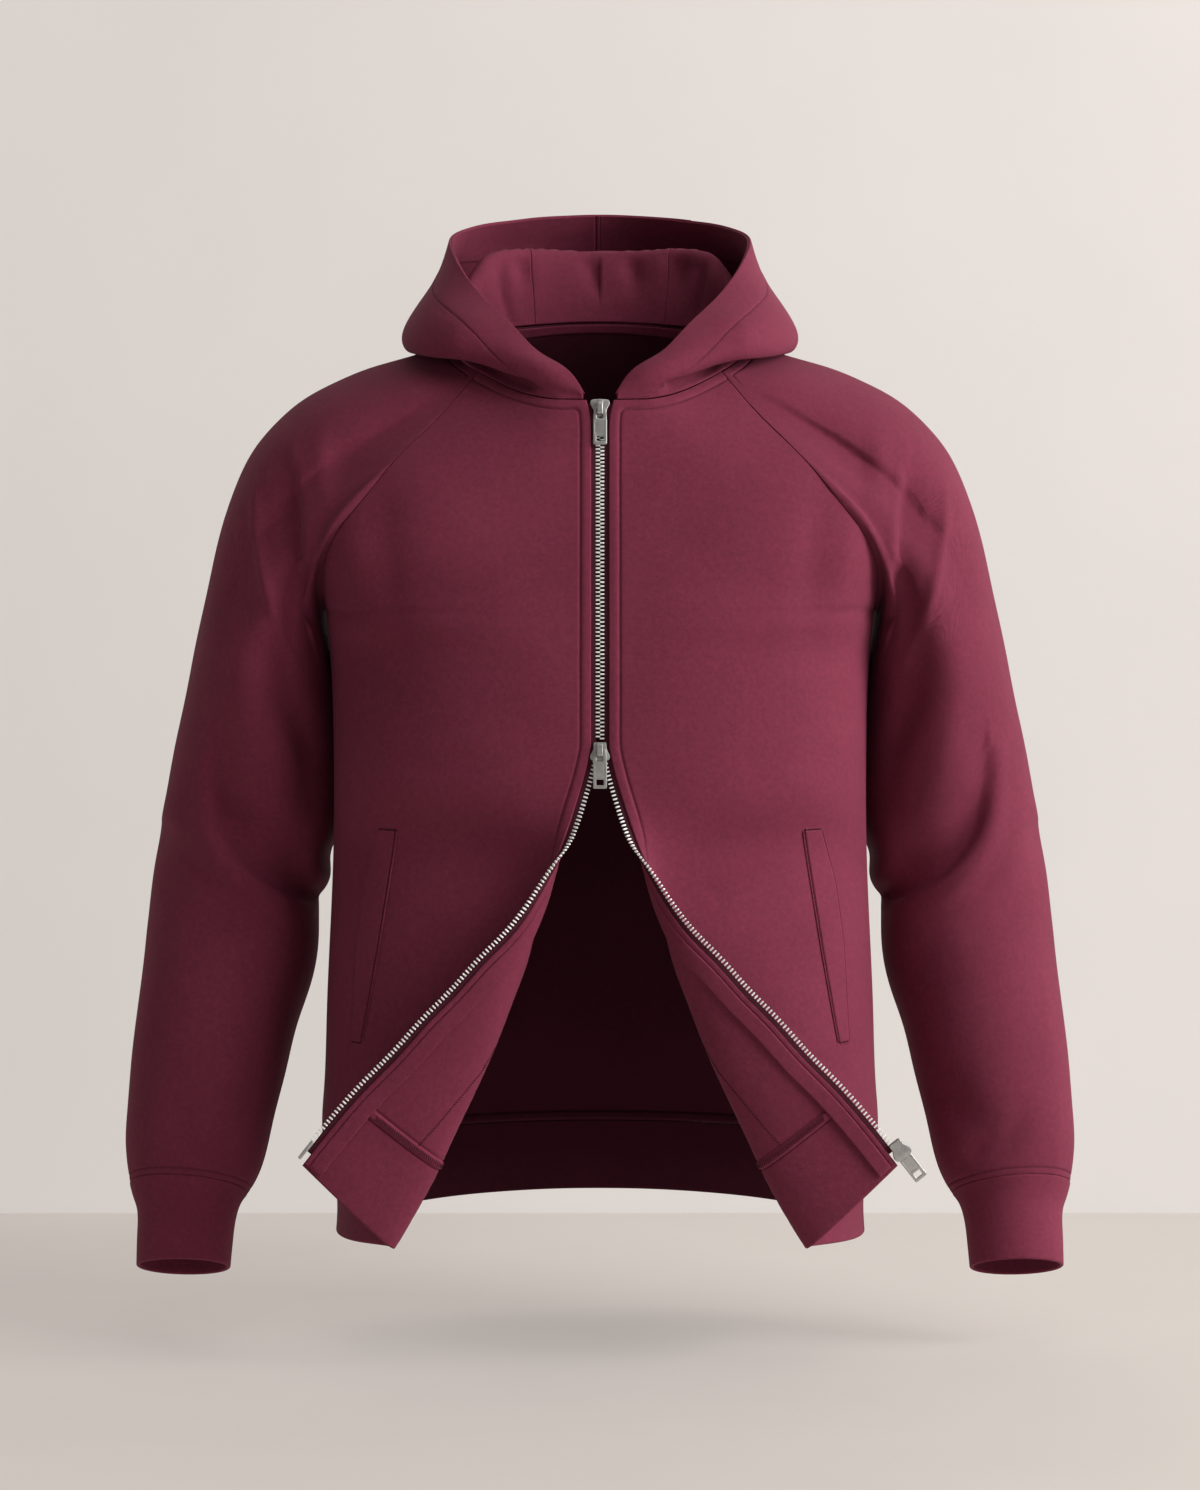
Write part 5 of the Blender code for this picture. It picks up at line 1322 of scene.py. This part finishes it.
def plate(loops, thick, bevel, z=0.0):
    """Points and faces of a plate with rounded edges. The first loop is its outline, the others are holes."""
    curve = bpy.data.curves.new("plate", "CURVE")
    curve.dimensions = "2D"
    curve.fill_mode = "BOTH"
    curve.extrude = thick / 2 - bevel
    curve.bevel_depth = bevel
    curve.bevel_resolution = 2
    for loop in loops:
        line = curve.splines.new("POLY")
        line.points.add(len(loop) - 1)
        line.points.foreach_set("co", np.c_[loop, np.zeros(len(loop)), np.ones(len(loop))].ravel())
        line.use_cyclic_u = True
    holder = scene_object("plate", curve)
    mesh = bpy.data.meshes.new_from_object(holder.evaluated_get(bpy.context.evaluated_depsgraph_get()))
    points = np.empty(len(mesh.vertices) * 3)
    mesh.vertices.foreach_get("co", points)
    faces = [tuple(p.vertices) for p in mesh.polygons]
    bpy.data.objects.remove(holder, do_unlink=True)
    bpy.data.curves.remove(curve)
    bpy.data.meshes.remove(mesh)
    return points.reshape(-1, 3) + np.array([0, 0, z]), faces


def swept(path, width, thick, corner_radius):
    """A bar of rounded section along a path in the plane across which it is wide: path is (down, out)."""
    heading = unit(np.gradient(path, axis=0))
    lift = np.stack([-heading[:, 1], heading[:, 0]], axis=1)
    ring = box_outline(width, thick, corner_radius)
    points = np.stack([np.c_[np.full(len(path), x), path + lift * y] for x, y in ring], axis=1)
    count, around = points.shape[:2]
    number = np.arange(count * around).reshape(count, around)
    after = np.roll(number, -1, axis=1)
    sides = np.stack([number[:-1], after[:-1], after[1:], number[1:]], axis=-1).reshape(-1, 4)
    return points.reshape(-1, 3), [tuple(f) for f in (*sides, number[0][::-1], number[-1])]


def joined(*shapes):
    points, faces, start = [], [], 0
    for shape_points, shape_faces in shapes:
        points.append(shape_points)
        faces += [tuple(i + start for i in face) for face in shape_faces]
        start += len(shape_points)
    return np.concatenate(points), faces


def placed(shape, origin, across, down, out):
    """A shape moved from its own frame, across, down and out, to the garment's."""
    points, faces = shape
    turned = np.linalg.det(np.array([across, down, out])) < 0
    moved = origin + points[:, :1] * across + points[:, 1:2] * down + points[:, 2:] * out
    return moved, [face[::-1] for face in faces] if turned else faces


def metal_object(name, shape, node=None, body="garment", finish=METAL):
    points, faces = shape
    mesh = bpy.data.meshes.new(name)
    mesh.from_pydata([tuple(p) for p in points * MM], [], faces)
    made = bmesh.new()
    made.from_mesh(mesh)
    bmesh.ops.remove_doubles(made, verts=made.verts, dist=1e-7)
    bmesh.ops.recalc_face_normals(made, faces=made.faces)
    made.to_mesh(mesh)
    made.free()
    mesh.materials.append(finish)
    mesh.shade_smooth()
    mesh.set_sharp_from_angle(angle=math.radians(35))
    thing = scene_object(name + "_metal", mesh)
    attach(thing, body)
    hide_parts(node or name)


CHAIN_DEPTH = CLOTH + PATCH_LIFT + TAPE_THICK / 2  # the middle of the zip below the outer side of the cloth
TOOTH_PITCH = 3.05
TOOTH_HIGH = 1.25
TOOTH_LONG = 3.5
TOOTH_BEVEL = 0.3
# One long side of a tooth: places along it and away from its middle, in shares, and the corners' radii.
TOOTH_SIDE = ((-1, 0.5, 0.35), (0.28, 0.5, 0.3), (0.45, 0.40, 0.3), (0.62, 0.5, 0.3), (1, 0.42, 0.4))
TEETH_FROM = 3.4  # from the front's edge to the teeth
CLOSED_TO = 262  # the level of the lowest closed tooth


def tooth():
    """One tooth: a rounded bar that lies across the zip, with a waist behind its head."""
    half = TOOTH_LONG / 2
    side = np.array(TOOTH_SIDE) * (half, TOOTH_HIGH, 1)
    rows = np.concatenate([side * (1, -1, 1), side[::-1]])
    loop = rounded_outline(rows[:, :2], rows[:, 2], steps=3)
    loop = loop * ((half - TOOTH_BEVEL) / half, (TOOTH_HIGH - 2 * TOOTH_BEVEL) / TOOTH_HIGH)
    return plate([loop], 1.9, TOOTH_BEVEL)


def make_teeth():
    """The teeth along both edges, closed above the lower slider and open below it, and the insertion pin."""
    levels = np.linspace(8, 640, 700)
    origin, _, _, out = edge_frames(levels)
    run = run_of(origin - out * CHAIN_DEPTH)
    closed = np.interp(CLOSED_TO, levels, run)
    shape = tooth()
    for side, phase in (("right", 0.0), ("left", TOOTH_PITCH / 2)):
        at = np.arange(4 + phase, run[-1], TOOTH_PITCH)
        frames = edge_frames(np.interp(at, run, levels))
        for part_name, node, chosen in (
            ("zip_chain", "zip_chain", at < closed),
            ("zip_teeth", "zip_teeth_" + side, at >= closed + 6),
        ):
            shapes = []
            for o, d, a, n in zip(*(v[chosen] for v in frames)):
                shapes.append(placed(shape, o - n * CHAIN_DEPTH + a * (TEETH_FROM + TOOTH_LONG / 2), a, d, n))
            points, faces = joined(*shapes)
            if side == "left":
                points, faces = points * FLIP, [face[::-1] for face in faces]
            metal_object(part_name + "_" + side, (points, faces), node, finish=TEETH)
    o, d, a, n = (v[0] for v in edge_frames([646.0]))
    pin = plate([box_outline(1.9, 15.4, 0.6)], 1.9, 0.35)
    metal_object("insertion_pin", placed(pin, o - n * CHAIN_DEPTH + a * (TEETH_FROM + 1.6), a, d, n))


# The bail's path: down the slider and out from the upper plate.
BAIL = ((1.9, -0.4), (1.9, 2.95), (3.0, 3.05), (9.0, 3.05), (10.1, 2.95), (10.1, -0.4))


def slider_shape():
    """A slider in its own frame: across, down from its narrow end, and out from the middle of the zip."""
    bevel = 0.35
    narrow, wide, length = SLIDER_NARROW / 2 - bevel, SLIDER_WIDE / 2 - bevel, SLIDER_LENGTH - bevel
    loop = symmetric((narrow, bevel, 0.9), (narrow, 5.2, 3), (wide * 0.86, 8.6, 1.6), (wide, 10.6, 1.6),
                     (wide * 0.93, 13.0, 1.6), (wide * 0.62, length, 1.4))
    face = PLATE_GAP / 2 + PLATE / 2
    crown = np.array([(-2.4, -2.2), (0, -3.4), (2.4, -2.2), (1.7, 0.2), (-1.7, 0.2)]) + (0, length)
    crown = rounded_outline(crown, [0.6, 0.5, 0.6, 0.6, 0.6])
    post = np.array([(-1.0, -3.6), (0, -5.2), (1.0, -3.6), (1.0, -0.6), (-1.0, -0.6)]) + (0, length)
    post = rounded_outline(post, [0.3] * 5)
    parts = [plate([loop], PLATE, bevel, face), plate([loop], PLATE, bevel, -face),
             plate([crown], PLATE + 0.5, 0.25, face), plate([post], PLATE_GAP + 0.6, 0.1)]
    lip = np.array([(narrow - 0.45, 0.6), (narrow + 0.15, 0.6), (narrow + 0.15, 5.2), (wide * 0.86, 8.8),
                    (wide * 0.98, 10.8), (wide * 0.98 - 0.6, 10.9), (wide * 0.86 - 0.6, 9.0),
                    (narrow - 0.45, 5.6)])
    for side in (-1, 1):
        for level in (-1, 1):
            parts.append(plate([(lip * (side, 1))[::side]], 0.8, 0.12, level * (PLATE_GAP / 2 - 0.35)))
    corners = np.array(BAIL) + (0, PLATE_GAP / 2 + PLATE)
    share = np.linspace(0, 1, 7)[:-1, None]
    path = np.vstack([*(a + (b - a) * share for a, b in zip(corners, corners[1:])), corners[-1:]])
    for _ in range(3):
        path[1:-1] = (path[:-2] + 2 * path[1:-1] + path[2:]) / 4
    return joined(*parts, swept(path, BAIL_WIDTH, 1.4, 0.65))


BAIL_MIDDLE = 1.2 + 1.6 + 3.2  # down the slider to the middle of the bail's window
HINGE_OUT = PLATE_GAP / 2 + PLATE + (BAIL_RISE - 1.4) / 2


def pull_shape():
    """A pull tab hanging from the middle of its bar: a window for the bail, one near its foot and rims."""
    bevel = 0.32
    width, thick = PULL_WIDTH - 2 * bevel, PULL_THICK
    top, foot = -PULL_BAR / 2 + bevel, PULL_LENGTH - PULL_BAR / 2 - bevel
    outline = symmetric((width * 0.40, top, 1.2), (width / 2, 6.6, 3.0), (width / 2, foot, 1.1))
    window = box_outline(5.5, 8.3, 0.8, (0, PULL_BAR / 2 + 4.15))
    hole = box_outline(6.2, 4.9, 0.7, (0, PULL_LENGTH - PULL_BAR / 2 - 4.65))[::-1]
    rim_out = symmetric((width * 0.40, 8.6, 1), (width / 2 - 0.1, 9.6, 1), (width / 2 - 0.1, foot - 0.1, 1.1))
    rim_in = symmetric((width * 0.32, 9.6, 0.8), (width / 2 - 0.95, 10.2, 0.8), (width / 2 - 0.95, 20.6, 0.8))
    rims = [plate([rim_out, rim_in[::-1], hole], 0.3, 0.1, side * thick / 2) for side in (-1, 1)]
    return joined(plate([outline, window[::-1], hole], thick, bevel), *rims)


SLIDER_LEVELS = (("top", 6.5), ("lower", 271), ("end", 648))


def make_sliders():
    """Each slider with its pull tab. The top one stands with its wide end up, and the end one hangs open."""
    for name, level in SLIDER_LEVELS:
        origin, down, away, out = (v[0] for v in edge_frames([level]))
        middle = origin - out * CHAIN_DEPTH
        if name == "end":
            middle = (middle + away * (TAPE_SHOWN + 2 * SEAM_GAP + CHAIN_WIDTH + 1.6)) * FLIP
            down, away, out = down * FLIP, away * FLIP, out * FLIP
            hang_down = unit(np.array([0.0, 0.0, -1.0]) + away * away[2])
        else:
            middle, out = middle * np.array([0, 1, 1]), unit(out * np.array([0, 1, 1]))
            away = np.array([1.0, 0.0, 0.0])
            down = unit(np.cross(out, away))
            down *= -np.sign(down[2])
            hang_down = down
        run = -down if name == "top" else down  # from the slider's narrow end to its wide one
        start = middle - run * SLIDER_LENGTH / 2
        metal_object("slider_" + name, placed(slider_shape(), start, away, run, out))
        hinge = start + run * BAIL_MIDDLE + out * HINGE_OUT
        face = unit(np.cross(away, hang_down))
        face *= np.sign(face @ out)
        pull = placed(pull_shape(), hinge, away, hang_down, face)
        metal_object("pull_tab_" + name, pull, body=name + "_tab")


make_front()
make_back()
make_band()
make_sleeves()
make_hood()
make_strips()
make_welts()
make_teeth()
make_sliders()


# ---------------------------------------------------------------- the stage
FLOOR = -784.0
WALL = 650.0  # behind the garment
FAR = 60000.0  # how far the floor reaches to the sides and to the front
SIDE = 9000.0  # half the wall's width
CEILING = 6000.0


def plain(name, colour, roughness, patch, glow):
    """A backdrop's finish with faint patches. It glows, so that its tone stays even."""
    made, tree, shader, where = material(name)
    cloud = noise_node(tree, where, 1.6, 6.0, 0.6)
    shade = ramp_node(tree, cloud, (0.3, tuple(c * (1 - patch) for c in colour)), (0.7, colour))
    tree.links.new(shade, shader.inputs["Base Color"])
    tree.links.new(shade, shader.inputs["Emission Color"])
    shader.inputs["Emission Strength"].default_value = glow
    shader.inputs["Roughness"].default_value = roughness
    return made


def mixed(tree, share, first, second, end):
    """Gives an output node one shader or the other."""
    mix = tree.nodes.new("ShaderNodeMixShader")
    for socket, value in zip(mix.inputs, (share, first.outputs[0], second.outputs[0])):
        tree.links.new(value, socket)
    tree.links.new(mix.outputs[0], tree.nodes[end].inputs["Surface"])


def open_behind(made):
    """Lets a backdrop be seen from its front only, so that the garment shows from behind too."""
    tree = made.node_tree
    side = tree.nodes.new("ShaderNodeNewGeometry").outputs["Backfacing"]
    clear = tree.nodes.new("ShaderNodeBsdfTransparent")
    mixed(tree, side, tree.nodes["Principled BSDF"], clear, "Material Output")
    return made


def sheet_of(name, corners, finish):
    mesh = bpy.data.meshes.new(name)
    mesh.from_pydata((np.array(corners) * MM).tolist(), [], [(0, 1, 2, 3)])
    mesh.materials.append(finish)
    made = scene_object(name, mesh)


sheet_of(
    "floor",
    [(-FAR, -FAR, FLOOR), (FAR, -FAR, FLOOR), (FAR, WALL, FLOOR), (-FAR, WALL, FLOOR)],
    plain("floor", (0.272, 0.250, 0.232), 0.8, 0.07, 1.4),
)
sheet_of(
    "wall",
    [(-SIDE, WALL, FLOOR), (SIDE, WALL, FLOOR), (SIDE, WALL, CEILING), (-SIDE, WALL, CEILING)],
    open_behind(plain("wall", (0.242, 0.2272, 0.2148), 0.9, 0.05, 2.14)),
)


def lamp(name, place, aim, size, power):
    light = bpy.data.lights.new(name, "AREA")
    light.shape = "RECTANGLE"
    light.size, light.size_y = size
    light.energy = power
    light.color = (1.0, 0.985, 0.97)
    made = scene_object(name, light)
    made.location = place
    made.rotation_mode = "QUATERNION"
    made.rotation_quaternion = (Vector(aim) - Vector(place)).to_track_quat("-Z", "Y")


lamp("side", (2.7, -0.9, 0.6), (0, 0, -0.3), (1.2, 1.8), 88)
lamp("key", (2.1, -1.7, 1.2), (0, 0, -0.3), (1.3, 1.7), 34)
lamp("top", (0.4, -0.9, 2.3), (0, 0, -0.2), (2.0, 1.6), 13)
lamp("fill", (-1.7, -2.6, 0.5), (0, 0, -0.3), (1.5, 1.5), 5)
world = bpy.data.worlds.new("air")
bpy.context.scene.world = world
world.use_nodes = True
air = world.node_tree.nodes["Background"]
air.inputs[0].default_value = (1.0, 0.97, 0.93, 1)
air.inputs[1].default_value = 0.02
backdrop = world.node_tree.nodes.new("ShaderNodeBackground")
backdrop.inputs[0].default_value = (0.70, 0.65, 0.61, 1)
seen = world.node_tree.nodes.new("ShaderNodeLightPath").outputs["Is Camera Ray"]
mixed(world.node_tree, seen, air, backdrop, "World Output")

camera = bpy.data.cameras.new("camera")
camera.sensor_width = 36.0
camera.lens = 3125.0 / 1490.0 * camera.sensor_width  # focal length over frame height, both in pixels
camera.clip_end = 50.0
view = scene_object("camera", camera)
view.location = (0.0, -2.5, -0.312)
view.rotation_euler = (math.pi / 2, 0, 0)
bpy.context.scene.camera = view

bpy.context.scene.view_settings.view_transform = "Standard"
